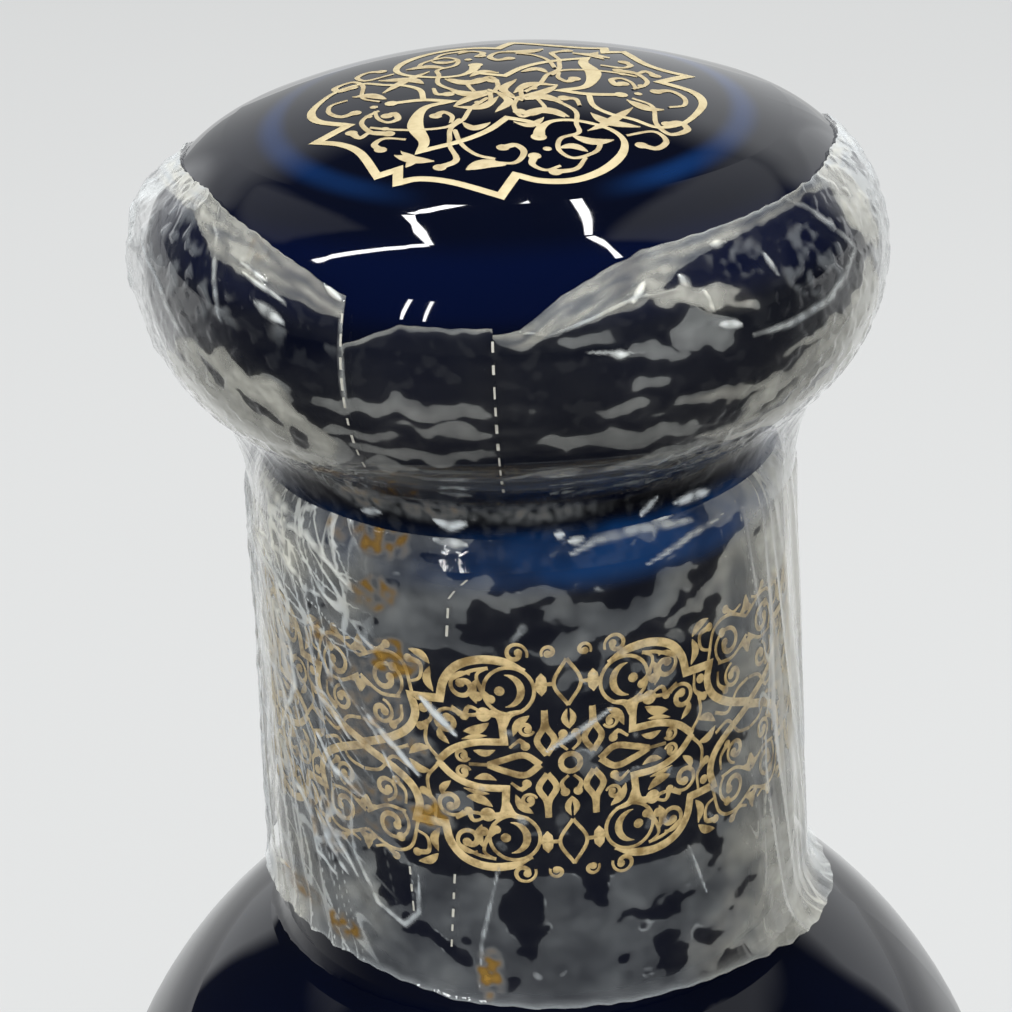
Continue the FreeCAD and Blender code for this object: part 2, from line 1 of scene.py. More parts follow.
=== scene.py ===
"""Looks of the stoppered cobalt decanter: glass, gold ornament and the torn shrink seal.

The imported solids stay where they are.  The seal and the gold are rebuilt here as fine meshes on the
same surfaces.  Shapes are in millimetres until mesh_piece() turns them into metres; materials, floor,
lamps and camera are in metres.  Angles round the bottle are degrees from the front (-Y) towards +X.
"""
import math
import bpy
import numpy as np
from mathutils import Matrix, Vector


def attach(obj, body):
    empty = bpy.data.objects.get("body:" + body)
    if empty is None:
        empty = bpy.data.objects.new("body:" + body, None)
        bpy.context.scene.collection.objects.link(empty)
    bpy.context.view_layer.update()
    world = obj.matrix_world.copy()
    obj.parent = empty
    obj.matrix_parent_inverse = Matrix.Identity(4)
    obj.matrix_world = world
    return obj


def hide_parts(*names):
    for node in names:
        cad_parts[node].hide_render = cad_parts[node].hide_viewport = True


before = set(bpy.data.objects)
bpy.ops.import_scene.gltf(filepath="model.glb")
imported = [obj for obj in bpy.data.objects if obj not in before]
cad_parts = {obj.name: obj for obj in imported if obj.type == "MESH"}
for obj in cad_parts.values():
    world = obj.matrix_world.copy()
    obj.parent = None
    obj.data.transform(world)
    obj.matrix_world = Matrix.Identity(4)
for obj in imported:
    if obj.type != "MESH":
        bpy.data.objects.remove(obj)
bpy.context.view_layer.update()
scene = bpy.context.scene

MM = 0.001
SEED = 11
NOISE_CELLS = 256

# The head, as in the solid: a dome, a rounded edge and a rounder underside
HEAD_TOP = 215.9
HEAD_WIDEST = 201.5
HEAD_RADIUS = 28.6
EDGE_RADIUS = 11.0
UNDER_RADIUS = 12.5
EDGE_CENTRE = HEAD_RADIUS - EDGE_RADIUS
UNDER_CENTRE = HEAD_RADIUS - UNDER_RADIUS
DOME_RISE = HEAD_TOP - HEAD_WIDEST
DOME_RADIUS = (EDGE_CENTRE ** 2 + DOME_RISE ** 2 - EDGE_RADIUS ** 2) / (2 * (DOME_RISE - EDGE_RADIUS))
DOME_REACH = EDGE_CENTRE * DOME_RADIUS / (DOME_RADIUS - EDGE_RADIUS)

# The neck: a slight cone from the shoulder to the lip
LIP = 186.2
LIP_ROUND = 3.0
NECK_TOP_RADIUS = 21.0
NECK_SLOPE = 0.02814

# The gold: how the medallion's flat print lies on the dome, the band's place on the neck, the sizes of
# straps, lines, curls and dots, the spacing of points along lines and arcs, the sharpest mitre at a corner,
# and the height of a ribbon's edges and middle off the glass
CROWN_WIDTH = 0.92
CROWN_DEPTH = 0.82
CROWN_FORWARD = -7.3
CROWN_SKEW = -0.13
CROWN_ARCH = 0.009
CROWN_SAG = 0.0034
BAND_MIDDLE = 167.25
BAND_AIM = 7.3
BAND_RADIUS = 21.6
BAND_COUNT = 4
BAND_PITCH = 2 * math.pi * BAND_RADIUS / BAND_COUNT
STRAP = 0.80
BAND_STRAP = 0.70
INNER_STRAP = 0.60
LINE = 0.40
FINE_LINE = 0.30
CROWN_CURL = 0.74
CROWN_DOT = 0.34
BAND_CURL = 0.52
BAND_DOT = 0.40
LINE_STEP = 0.22
ARC_STEP = 12
MITRE_LIMIT = 0.45
RIBBON_LIFTS = (0.03, 0.09, 0.03)

# The seal: its two perforation lines in degrees, its distance from the glass, how far round the underside
# it clings and how much less at the sides, its turn over the lip, the fillet it flares on, and its grids
HEAD_STRIP = (-24.4, -3.2)
NECK_STRIP = (-29.0, -16.5)
FILM_GAP = 0.45
CLING_TURN = 146.0
CLING_LESS = 6.0
LIP_WRAP = (45, 4)
FILLET_TOP = 147.5
FILLET_FLARE = 0.09
HEAD_STEP = 0.42
NECK_STEP = 0.5
BACK_SPREAD = 2.6
HEAD_ROWS = 112
SKIRT_ROWS = 30
LIP_ROWS = 12
NECK_ROWS = 190

# Colours: red, green, blue and opacity
NIGHT_BLUE = (0.0007, 0.0014, 0.0055, 1)
DEEP_BLUE = (0.0008, 0.0018, 0.0085, 1)
# Painted blue light in the glass: on the head's rounded edge, round the dome's gold and in the lip
PAINTED_EDGE_LIGHT = (0.0006, 0.0024, 0.0165, 1)
PAINTED_RING_LIGHT = (0.003, 0.021, 0.085, 1)
PAINTED_LIP_LIGHT = (0.002, 0.031, 0.118, 1)
THIN_MILK = (0.66, 0.71, 0.73, 1)
DENSE_MILK = (0.82, 0.82, 0.73, 1)
TIDE_BROWN = (0.37, 0.215, 0.045, 1)
PRICK_GREY = (0.30, 0.29, 0.24, 1)
PRICK_WHITE = (0.62, 0.61, 0.55, 1)
CORK_BROWN = (0.36, 0.21, 0.10, 1)
CORK_PALE = (0.62, 0.43, 0.25, 1)
PIT_BROWN = (0.13, 0.07, 0.03, 1)
FLOOR_GREY = (0.70, 0.71, 0.71, 1)
FLOOR_PALE = (0.72, 0.73, 0.73, 1)
# Painted shade on the floor in front of the bottle
FLOOR_PAINTED_SHADE = (0.03, 0.03, 0.03, 1)
FLOOR_FAR = (0.91, 0.92, 0.92, 1)
ROOM_LIGHT = (0.97, 0.99, 1.0, 1)
ROOM_SEEN = (0.73, 0.74, 0.74, 1)
BLACK = (0, 0, 0, 1)
WHITE = (1, 1, 1, 1)


def smoothstep(low, high, value):
    """0 below the low end, 1 above the high end and a rounded rise between; the ends may be swapped."""
    t = np.clip((value - low) / (high - low), 0.0, 1.0)
    return t * t * (3 - 2 * t)


def perlin(x, y, seed):
    """Smooth noise between about -1 and 1 on a lattice of one unit."""
    angles = np.random.default_rng(SEED + seed).uniform(0, 2 * math.pi, (NOISE_CELLS, NOISE_CELLS))
    column = np.floor(x).astype(int)
    row = np.floor(y).astype(int)
    across = x - column
    up = y - row

    def corner(dx, dy):
        angle = angles[(column + dx) % NOISE_CELLS, (row + dy) % NOISE_CELLS]
        return np.cos(angle) * (across - dx) + np.sin(angle) * (up - dy)

    def ease(t):
        return t ** 3 * (t * (6 * t - 15) + 10)

    low = corner(0, 0) + ease(across) * (corner(1, 0) - corner(0, 0))
    high = corner(0, 1) + ease(across) * (corner(1, 1) - corner(0, 1))
    return 1.4 * (low + ease(up) * (high - low))


def ridges(x, y, seed):
    """Noise with sharp crests, from 0 to 1, for creases."""
    return 1.0 - np.clip(np.abs(perlin(x, y, seed)) * 2.2, 0.0, 1.0)


def wear(piece, material):
    """Gives a piece one material."""
    piece.data.materials.clear()
    piece.data.materials.append(material)


def mesh_piece(name, points, faces, body, material):
    """A smooth mesh object from points in millimetres, riding on a body of the frame."""
    mesh = bpy.data.meshes.new(name)
    mesh.from_pydata([tuple(p) for p in np.asarray(points) * MM], [], [tuple(f) for f in faces])
    mesh.shade_smooth()
    mesh.update()
    piece = bpy.data.objects.new(name, mesh)
    scene.collection.objects.link(piece)
    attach(piece, body)
    wear(piece, material)
    return piece


def on_round(angle, radius, height):
    """Places round the bottle's axis, as rows of x, y, z."""
    turn = np.radians(angle)
    return np.stack([radius * np.sin(turn), -radius * np.cos(turn), height + 0 * turn], axis=-1)


def neck_radius(height):
    """The neck's radius at a height."""
    return NECK_TOP_RADIUS + (LIP - height) * NECK_SLOPE


def head_profile(turn, off):
    """Radius and height on the head's edge at a turn from straight up, a distance off the glass."""
    over = turn < math.pi / 2
    centre = np.where(over, EDGE_CENTRE, UNDER_CENTRE)
    bend = np.where(over, EDGE_RADIUS, UNDER_RADIUS) + off
    return centre + bend * np.sin(turn), HEAD_WIDEST + bend * np.cos(turn)


# Materials.  Most helpers add their node to the tree of the first socket they are given.

def new_material(name):
    """An empty node material and its tree."""
    material = bpy.data.materials.new(name)
    material.use_nodes = True
    material.node_tree.nodes.clear()
    return material, material.node_tree


def shaded(material, surface):
    """Joins a shader's output to a material and gives the material back."""
    tree = material.node_tree
    output = tree.nodes.new("ShaderNodeOutputMaterial")
    tree.links.new(surface, output.inputs["Surface"])
    return material


def feed(target, value):
    """Links a socket to an input, or sets the input to a plain value."""
    if isinstance(value, bpy.types.NodeSocket):
        target.id_data.links.new(value, target)
    else:
        target.default_value = value


def node(tree, kind, inputs=None, **settings):
    """A shader node with its settings and its inputs."""
    made = tree.nodes.new(kind)
    for key, value in settings.items():
        setattr(made, key, value)
    for key, value in (inputs or {}).items():
        feed(made.inputs[key], value)
    return made


def shader(tree, kind, inputs=None):
    """The output of a shader node."""
    return node(tree, kind, inputs).outputs[0]


def blend(share, first, second):
    """Two shaders mixed by a share."""
    return shader(share.id_data, "ShaderNodeMixShader", {0: share, 1: first, 2: second})


def ramp(value, low, high, to_low=0.0, to_high=1.0, soft=True):
    """A value carried from one range to another, with rounded or straight ends."""
    inputs = {"Value": value, "From Min": low, "From Max": high, "To Min": to_low, "To Max": to_high}
    curve = "SMOOTHSTEP" if soft else "LINEAR"
    return node(value.id_data, "ShaderNodeMapRange", inputs, interpolation_type=curve).outputs["Result"]


def math_of(operation, first, second=0.0):
    """A sum, power or the like of a socket and a socket or number."""
    return node(first.id_data, "ShaderNodeMath", {0: first, 1: second}, operation=operation).outputs["Value"]


def product(first, *others):
    """Values multiplied one after another."""
    for other in others:
        first = math_of("MULTIPLY", first, other)
    return first


def greatest(first, *others):
    """The greatest of some values."""
    for other in others:
        first = math_of("MAXIMUM", first, other)
    return first


def window(value, start, full, fade, end):
    """1 between two values, falling to 0 on both sides."""
    return product(ramp(value, start, full), ramp(value, end, fade))


def mixed(factor, first, second):
    """A blend of two colours, each a socket or a plain colour."""
    made = node(factor.id_data, "ShaderNodeMix", {"Factor": factor}, data_type="RGBA")
    for name, value in (("A", first), ("B", second)):
        feed([s for s in made.inputs if s.name == name and s.type == "RGBA"][0], value)
    return [s for s in made.outputs if s.type == "RGBA"][0]


def noise(vector, scale, detail, roughness=0.5):
    """Soft noise from 0 to 1."""
    inputs = {"Vector": vector, "Scale": scale, "Detail": detail, "Roughness": roughness}
    return node(vector.id_data, "ShaderNodeTexNoise", inputs).outputs["Fac"]


def bumped(height, strength, distance, invert=False):
    """Surface directions roughened by a height."""
    inputs = {"Height": height, "Strength": strength, "Distance": distance}
    return node(height.id_data, "ShaderNodeBump", inputs, invert=invert).outputs["Normal"]


def axes_of(vector):
    """The x, y and z of a vector."""
    return node(vector.id_data, "ShaderNodeSeparateXYZ", {"Vector": vector}).outputs


def length_of(vector):
    """The length of a vector."""
    return node(vector.id_data, "ShaderNodeVectorMath", {0: vector}, operation="LENGTH").outputs["Value"]


def read_value(tree, name):
    """A number that a mesh carries at its points."""
    return node(tree, "ShaderNodeAttribute", attribute_name=name).outputs["Fac"]


def position(tree):
    """Places on an object, in metres."""
    return node(tree, "ShaderNodeTexCoord").outputs["Object"]


def cobalt_glass():
    """Deep blue glass, nearly black in depth, with painted blue light round the dome's gold, on the head's
    edge and in the lip.
    """
    material, tree = new_material("cobalt_glass_deep")
    place = position(tree)
    across, back, up = axes_of(place)
    ring_middle = 0.0036
    flat = {"X": across, "Y": math_of("ADD", back, ring_middle)}
    from_gold = length_of(node(tree, "ShaderNodeCombineXYZ", flat).outputs["Vector"])
    drift = noise(place, 45.0, 3.0)
    # Painted light: a blue ring round the dome's gold
    painted_ring_light = product(window(from_gold, 0.0162, 0.0175, 0.0177, 0.0192), ramp(up, 0.2080, 0.2085),
                   ramp(math_of("ABSOLUTE", across), 0.0050, 0.0125),
                   ramp(drift, 0.30, 0.62, 0.45, 1.0), ramp(across, -0.012, 0.010, 0.65, 1.0))
    # Painted light: a blue glow in the lip
    lip = product(window(up, 0.1808, 0.1832, 0.1855, 0.1862),
                  ramp(noise(place, 120.0, 2.0), 0.32, 0.58, 0.30, 1.0),
                  ramp(across, -0.010, 0.002, 0.35, 1.0))
    colour = mixed(ramp(drift, 0.35, 0.7), NIGHT_BLUE, DEEP_BLUE)
    # Painted light: bluer on the head's rounded edge
    colour = mixed(window(up, 0.2040, 0.2062, 0.2085, 0.2105), colour, PAINTED_EDGE_LIGHT)
    colour = mixed(painted_ring_light, colour, PAINTED_RING_LIGHT)
    colour = mixed(lip, colour, PAINTED_LIP_LIGHT)
    polish = ramp(noise(place, 300.0, 3.0), 0.4, 0.8, 0.02, 0.06)
    return shaded(material, shader(tree, "ShaderNodeBsdfPrincipled", {
        "Base Color": colour, "Roughness": polish, "IOR": 1.5}))


def gold_paint(name, bright, dull):
    """Fired gold: a warm flat metal with worn, slightly browner places."""
    material, tree = new_material(name)
    place = position(tree)
    worn = ramp(noise(place, 900.0, 4.0, 0.6), 0.38, 0.72)
    grain = noise(place, 5200.0, 2.0)
    return shaded(material, shader(tree, "ShaderNodeBsdfPrincipled", {
        "Base Color": mixed(worn, bright, dull),
        "Metallic": 0.15,
        "Roughness": ramp(grain, 0.2, 0.8, 0.34, 0.56),
        "Normal": bumped(grain, 0.25, 0.00005)}))


def shrink_film():
    """Clear film: glossy everywhere, grey where it stands off the glass, white along creases and painted
    glints.
    """
    material, tree = new_material("clear_shrink_film")
    place = position(tree)
    lift, haze, crease, stain = (read_value(tree, name) for name in ("lift", "haze", "crease", "stain"))
    standing = math_of("ADD", ramp(lift, -0.05, 0.05, 0.0, 0.68), ramp(lift, -0.5, 0.9, 0.0, 0.32))
    share = product(ramp(standing, 0.0, 1.0, 0.05, 1.0, soft=False),
                    ramp(noise(place, 900.0, 2.0), 0.25, 0.75, 0.86, 1.12),
                    ramp(noise(place, 240.0, 3.0), 0.32, 0.68, 0.72, 1.22))
    grazing = node(tree, "ShaderNodeLayerWeight", {"Blend": 0.35}).outputs["Facing"]
    edge_on = product(ramp(grazing, 0.26, 0.72, 0.0, 0.60), ramp(haze, 0.02, 0.08),
                      ramp(standing, 0.0, 1.0, 0.16, 1.0, soft=False))
    # Whitening along creases, with painted glints, highlights and sheen, comes in one attribute
    crease_and_shine_cover, stain_cover = 0.88, 0.80
    veil = greatest(product(haze, share), product(crease, crease_and_shine_cover), product(stain, stain_cover), edge_on)
    milk = mixed(ramp(haze, 0.09, 0.30), THIN_MILK, DENSE_MILK)
    milk = mixed(ramp(stain, 0.05, 0.55), milk, TIDE_BROWN)
    clear = shader(tree, "ShaderNodeBsdfTransparent")
    sheet = blend(veil, clear, shader(tree, "ShaderNodeBsdfDiffuse", {"Color": milk}))
    bump = bumped(noise(place, 700.0, 3.0), 0.20, 0.00012)
    gloss = shader(tree, "ShaderNodeBsdfGlossy", {"Color": WHITE, "Roughness": 0.07, "Normal": bump})
    facing = node(tree, "ShaderNodeLayerWeight", {"Blend": 0.5, "Normal": bump}).outputs["Facing"]
    shine = ramp(math_of("POWER", facing, 5.0), 0.0, 1.0, 0.04, 1.0, soft=False)
    return shaded(material, blend(shine, sheet, gloss))


def pricked_film():
    """Whitened film at the cuts of a perforation."""
    material, tree = new_material("pricked_film")
    colour = mixed(noise(position(tree), 2500.0, 2.0), PRICK_GREY, PRICK_WHITE)
    return shaded(material, shader(tree, "ShaderNodeBsdfPrincipled", {
        "Base Color": colour, "Roughness": 0.35}))


def natural_cork():
    """Pale brown cork with darker pits."""
    material, tree = new_material("natural_cork")
    place = position(tree)
    pits = ramp(noise(place, 700.0, 4.0, 0.7), 0.52, 0.66)
    colour = mixed(noise(place, 220.0, 5.0), CORK_BROWN, CORK_PALE)
    return shaded(material, shader(tree, "ShaderNodeBsdfPrincipled", {
        "Base Color": mixed(pits, colour, PIT_BROWN),
        "Roughness": 0.85,
        "Normal": bumped(pits, 0.6, 0.0003, invert=True)}))


GLASS = cobalt_glass()
CROWN_STRAP_GOLD = gold_paint("crown_strap_gold", (0.52, 0.44, 0.26, 1), (0.44, 0.36, 0.20, 1))
CROWN_SCROLL_GOLD = gold_paint("crown_scroll_gold", (0.47, 0.39, 0.23, 1), (0.37, 0.29, 0.155, 1))
BAND_STRAP_GOLD = gold_paint("band_strap_gold", (0.72, 0.555, 0.28, 1), (0.29, 0.195, 0.07, 1))
BAND_SCROLL_GOLD = gold_paint("band_scroll_gold", (0.60, 0.45, 0.21, 1), (0.18, 0.115, 0.04, 1))
FILM = shrink_film()
PRICKED = pricked_film()

wear(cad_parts["bottle"], GLASS)
wear(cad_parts["stopper_head"], GLASS)
wear(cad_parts["stopper_cork"], natural_cork())


# Gold ornament: flat ribbons drawn in millimetres, then laid on the glass

def smooth_line(points):
    """A smooth line through a few points (Catmull-Rom)."""
    knots = np.array(points, float)
    if len(knots) == 2:
        knots = np.array([knots[0], (knots[0] + knots[1]) / 2, knots[1]])
    knots = np.vstack([2 * knots[0] - knots[1], knots, 2 * knots[-1] - knots[-2]])
    line = [knots[1]]
    for a, b, c, d in zip(knots, knots[1:], knots[2:], knots[3:]):
        count = max(2, int(np.linalg.norm(c - b) / LINE_STEP))
        for t in np.linspace(0, 1, count + 1)[1:]:
            line.append(0.5 * (2 * b + (c - a) * t + (2 * a - 5 * b + 4 * c - d) * t ** 2
                               + (3 * b - a - 3 * c + d) * t ** 3))
    return np.array(line)


def cornered_line(*runs):
    """Smooth runs joined at sharp corners."""
    lines = [smooth_line(run) for run in runs]
    return np.vstack([lines[0]] + [line[1:] for line in lines[1:]])


def arc_line(centre, radius, start, end, end_radius=None):
    """Part of a circle, or of a spiral if it ends at another radius; angles in degrees."""
    count = max(6, int(abs(end - start) / ARC_STEP))
    angle = np.radians(np.linspace(start, end, count + 1))
    reach = np.linspace(radius, radius if end_radius is None else end_radius, count + 1)
    return np.stack([centre[0] + reach * np.cos(angle), centre[1] + reach * np.sin(angle)], axis=1)


def taper(count, ends, power):
    """Widths that rise from a share at both ends to full in the middle."""
    return np.maximum(np.sin(np.pi * np.linspace(0, 1, count)) ** power, ends)


class Ornament:
    """Ribbons, leaves and dots on a flat sheet, gathered into one mesh."""

    def __init__(self):
        self.points = []
        self.lifts = []
        self.faces = []
        self.size = 0

    def ribbon(self, line, width, shares=1.0):
        """A band of gold along a line, a little thicker along its middle."""
        line = np.asarray(line, float)
        ahead = np.diff(line, axis=0)
        ahead /= np.linalg.norm(ahead, axis=1)[:, None]
        way = np.vstack([ahead[:1], ahead[:-1] + ahead[1:], ahead[-1:]])
        way /= np.linalg.norm(way, axis=1)[:, None]
        square = np.stack([-way[:, 1], way[:, 0]], axis=1)
        along = np.vstack([ahead[:1], ahead])
        mitre = 1 / np.clip(np.sum(way * along, axis=1), MITRE_LIMIT, 1.0)
        half = (width / 2 * mitre * shares)[:, None]
        count = len(line)
        self.points.append(np.vstack([line + square * half, line, line - square * half]))
        self.lifts.append(np.repeat(RIBBON_LIFTS, count))
        for lane in (0, count):
            first = self.size + lane + np.arange(count - 1)
            self.faces.append(np.stack([first, first + count, first + count + 1, first + 1], axis=1))
        self.size += 3 * count

    def dot(self, centre, radius):
        """A small round of gold."""
        self.ribbon(arc_line(centre, radius * 0.5, 0, 360), radius)

    def leaf(self, points, width):
        """A pointed leaf along a curved spine."""
        line = smooth_line(points)
        self.ribbon(line, width, taper(len(line), 0.05, 0.8))

    def comma(self, points, width):
        """A curl that grows from a thin stem to a round end."""
        line = smooth_line(points)
        self.ribbon(line, width, 0.45 + 0.55 * np.linspace(0, 1, len(line)) ** 2)
        self.dot(line[-1], 0.70 * width)

    def scroll(self, centre, radius, start, turn, width):
        """A spiral that winds in to a round end."""
        line = arc_line(centre, radius, start, start + turn, radius * 0.28)
        self.ribbon(line, width, np.linspace(0.5, 1.1, len(line)))
        self.dot(line[-1], 0.75 * width)

    def fill(self, curls, curl_width, leaves, lines, dots, dot_size):
        """Curls, leaves, lines and dots from lists of their places; leaves and lines come with widths."""
        for points in curls:
            self.comma(points, curl_width)
        for points, width in leaves:
            self.leaf(points, width)
        for points, width in lines:
            self.ribbon(smooth_line(points), width)
        for centre in dots:
            self.dot(centre, dot_size)

    def copies(self, changes):
        """This ornament again under each change of its flat points; a mirrored one is turned over."""
        points, lifts, faces = np.vstack(self.points), np.concatenate(self.lifts), np.vstack(self.faces)
        whole = Ornament()
        for matrix, shift in changes:
            whole.points.append(points @ np.array(matrix, float).T + np.array(shift, float))
            whole.lifts.append(lifts)
            mirrored = np.linalg.det(matrix) < 0
            whole.faces.append((faces[:, ::-1] if mirrored else faces) + whole.size)
            whole.size += len(points)
        return whole

    def lay(self, name, surface, body, material, node_name):
        """Puts the ornament on the glass as one piece."""
        flat = np.vstack(self.points)
        places = surface(flat[:, 0], flat[:, 1], np.concatenate(self.lifts))
        piece = mesh_piece(name, places, np.vstack(self.faces).tolist(), body, material)
        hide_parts(node_name)


def on_dome(x, y, lift):
    """Places on the stopper's dome, or on its rounded edge further out."""
    reach = np.hypot(x, y)
    inner = np.sqrt(np.maximum(DOME_RADIUS ** 2 - reach ** 2, 0)) + HEAD_TOP - DOME_RADIUS
    outer = HEAD_WIDEST + np.sqrt(np.maximum(EDGE_RADIUS ** 2 - (reach - EDGE_CENTRE) ** 2, 0))
    height = np.where(reach < DOME_REACH, inner, outer)
    return np.stack([x, y, height + lift], axis=1)


def on_crown(x, y, lift):
    """Places of the medallion's flat print, which sits towards the front and bends with the dome."""
    back = CROWN_FORWARD + CROWN_DEPTH * y + CROWN_SKEW * x + CROWN_SAG * y ** 2 + CROWN_ARCH * x ** 2
    return on_dome(CROWN_WIDTH * x, back, lift)


def on_neck(x, y, lift):
    """Places on the neck: x runs round it from the band's first middle, y up from the band's middle."""
    height = BAND_MIDDLE + y
    return on_round(BAND_AIM + np.degrees(x / BAND_RADIUS), neck_radius(height) + lift, height)


# Half of the medallion on the dome: curls from stem to end, leaves with their widths, vines and dots
CROWN_CURLS = (
    [(-12.9, 0.5), (-14.2, -0.4), (-14.3, -2.2), (-13.3, -3.5), (-12.1, -2.9)],
    [(-10.5, -3), (-10.2, -4.6), (-9.4, -5.5), (-8.6, -4.9), (-8.9, -3.7), (-9.5, -4.1)],
    [(-10.2, -2.9), (-11.2, -4.1), (-11.5, -5.6), (-10.6, -7.5), (-9.3, -7.8)],
    [(-9.6, -7.5), (-10.8, -7.4), (-11.6, -8.4), (-12.3, -7.3)],
    [(-7.9, -9), (-9.6, -8.7), (-10.4, -9.8), (-9.9, -10.8)],
    [(-4.5, -8.3), (-4.5, -10.2), (-4, -12.6), (-5.3, -13.9)],
    [(-2.9, -13.6), (-1.7, -12.8), (0.4, -12.8), (1.2, -11), (0.6, -9.8), (-0.4, -10.3)],
    [(-4.4, -6), (-4.3, -4.6), (-5, -3.7), (-5.6, -4.5)], [(-5.8, 1.8), (-5.5, 0.4), (-4.6, 0.3)],
    [(3.9, -12.9), (2.8, -13.7), (1.8, -12.9), (2, -11.5)], [(5.9, -11.3), (5.1, -13.2), (3.5, -13.9)],
    [(9.2, -7), (11.4, -5.8), (12.3, -7.3), (11.5, -8.8), (10.3, -8.5)],
    [(10.1, 0.7), (11.6, -0.7), (11.7, -4.2), (12.7, -6), (14.1, -4.8), (13.6, -3.5), (12.6, -4.1)],
    [(2.5, -0.7), (3, -2.7), (2, -4), (1, -3.5)],
)
CROWN_LEAVES = (
    ([(-12.5, 1.2), (-11.1, 1.2), (-9.6, -0.2)], 1.1), ([(-8.8, -11.9), (-7.4, -12.6), (-5.7, -12.9)], 1.2),
    ([(-8.3, -11.2), (-7.4, -12.6), (-7.9, -14)], 0.9),
    ([(-3.3, -14.2), (-1.8, -13.1), (-0.2, -13.2)], 1.4), ([(-4.2, -2.6), (-2.9, -0.8), (-0.9, 0.5)], 0.9),
    ([(-4.2, -2.6), (-2, -2.7), (-0.6, -0.4)], 0.9), ([(-0.7, 0.3), (0.2, -1.4), (-0.9, -3.8)], 0.8),
    ([(-3.5, -5.8), (-2.6, -6.9), (-1.3, -5.9)], 0.9), ([(4.9, -7.6), (6.5, -8.5), (8.2, -8)], 1.1),
    ([(6.6, -3.2), (7.9, -4.7), (10.4, -5.2)], 1.2), ([(6.2, -6.7), (7.9, -4.8), (10, -1.4)], 0.9),
    ([(1.5, -1), (2.9, -0.2), (4.5, -1.3)], 1.2), ([(3.9, -10), (5, -9.5), (6.1, -10.3)], 0.9),
    ([(-4.9, 4.2), (-3.2, 3.1), (-1.2, 3.7)], 1.2), ([(-2.9, 4.6), (-1.8, 6.1), (-0.5, 5.6)], 0.8),
)
CROWN_VINES = (
    [(-10.8, -6.4), (-9.1, -7), (-6.9, -7.2), (-4.7, -6.7), (-3.7, -5.2)],
    [(-4.1, -7.3), (-3.6, -9.8), (-2.5, -11.6), (-1, -12.3)],
    [(-4.5, -9.3), (-4.4, -7), (-3.4, -5.2), (-2.8, -3), (-1.5, -0.7)],
    [(5.4, -5.5), (5.5, -7.1), (4.1, -8.3), (3.9, -10.3), (5, -11.5), (6.7, -10.2), (7.2, -8.4)],
    [(1.2, 1.8), (1.4, -0.6), (2.9, -0.2), (5.3, -2.7), (5.4, -5.5)],
    [(-1, 0.4), (-0.6, 2.4), (-1.2, 4.5), (-2.7, 3.3), (-4.6, 4.2)], [(-1.4, 1.2), (0, 0)],
)
CROWN_DOTS = ((-10.6, -1.9), (3, -10.2), (11, 4), (9.6, 6.8), (-2.2, -1.7))
HALF_TURNS = [(((turn, 0), (0, turn)), (0, 0)) for turn in (1, -1)]

# A quarter of one cartouche of the band, from its middle outwards; scrolls are centre, radius, first
# angle, turn and width
BAND_SCROLLS = (((8.0, 6.6), 1.2, 120, -430, 0.5), ((9.4, 3.5), 1.2, 150, -420, 0.5),
                ((14.5, 6.3), 1.6, 230, -430, 0.5), ((15.0, 3.3), 1.1, 100, 420, 0.5),
                ((3.3, 3.1), 0.65, 200, 380, 0.4), ((8.3, 0.75), 0.62, 200, 380, 0.4),
                ((3.9, 9.4), 0.95, 200, -400, 0.42), ((1.35, 9.4), 0.60, -30, 330, 0.40))
BAND_CURLS = (
    [(6.1, 8.2), (6.9, 7.6), (6.6, 6.4), (5.9, 5.6)], [(6.6, 4.5), (7.6, 4.9), (8, 4.1)],
    [(10.7, 5), (10.7, 3.6), (11.6, 2.8)], [(12.5, 6.4), (11.5, 6.9), (11.4, 8.1), (12.4, 8.4)],
    [(16.2, 8.9), (15.2, 8.6), (14.3, 9.2)], [(13.2, 4.3), (13.2, 3.2), (14, 2.4)],
    [(4.6, 1.5), (3.8, 2.1), (3.4, 1.6)], [(0.2, 1.1), (0.75, 1.7), (0.5, 2.5)],
)
BAND_LEAVES = (
    ([(7, 5.2), (7.3, 6.2), (7, 7.2)], 0.7), ([(16, 8), (16.97, 8.5), (16.9, 9.4)], 0.8),
    ([(10.6, 8.2), (11.3, 8.9), (12.3, 9.2)], 0.7), ([(15.8, 5.2), (16.6, 5.5), (16.9, 4.5)], 0.7),
    ([(10.9, 1), (11.9, 0.9), (12.7, 0.2)], 0.7), ([(3, 4.2), (3.9, 3.5), (4.3, 2.5)], 0.7),
    ([(6.1, 3.6), (7, 3), (8.1, 2.8)], 0.8), ([(0, 2.9), (0.35, 3.8), (0.1, 4.6)], 0.5),
    ([(5.7, 1.3), (6.5, 1), (7.4, 1.2)], 0.6), ([(6.3, 2.5), (7.3, 2.4), (8.3, 2.1)], 0.4),
    ([(10.4, 5.9), (10.9, 6.9), (10.6, 8)], 0.7), ([(9.3, 1.6), (10, 2.3), (10, 3)], 0.6),
)
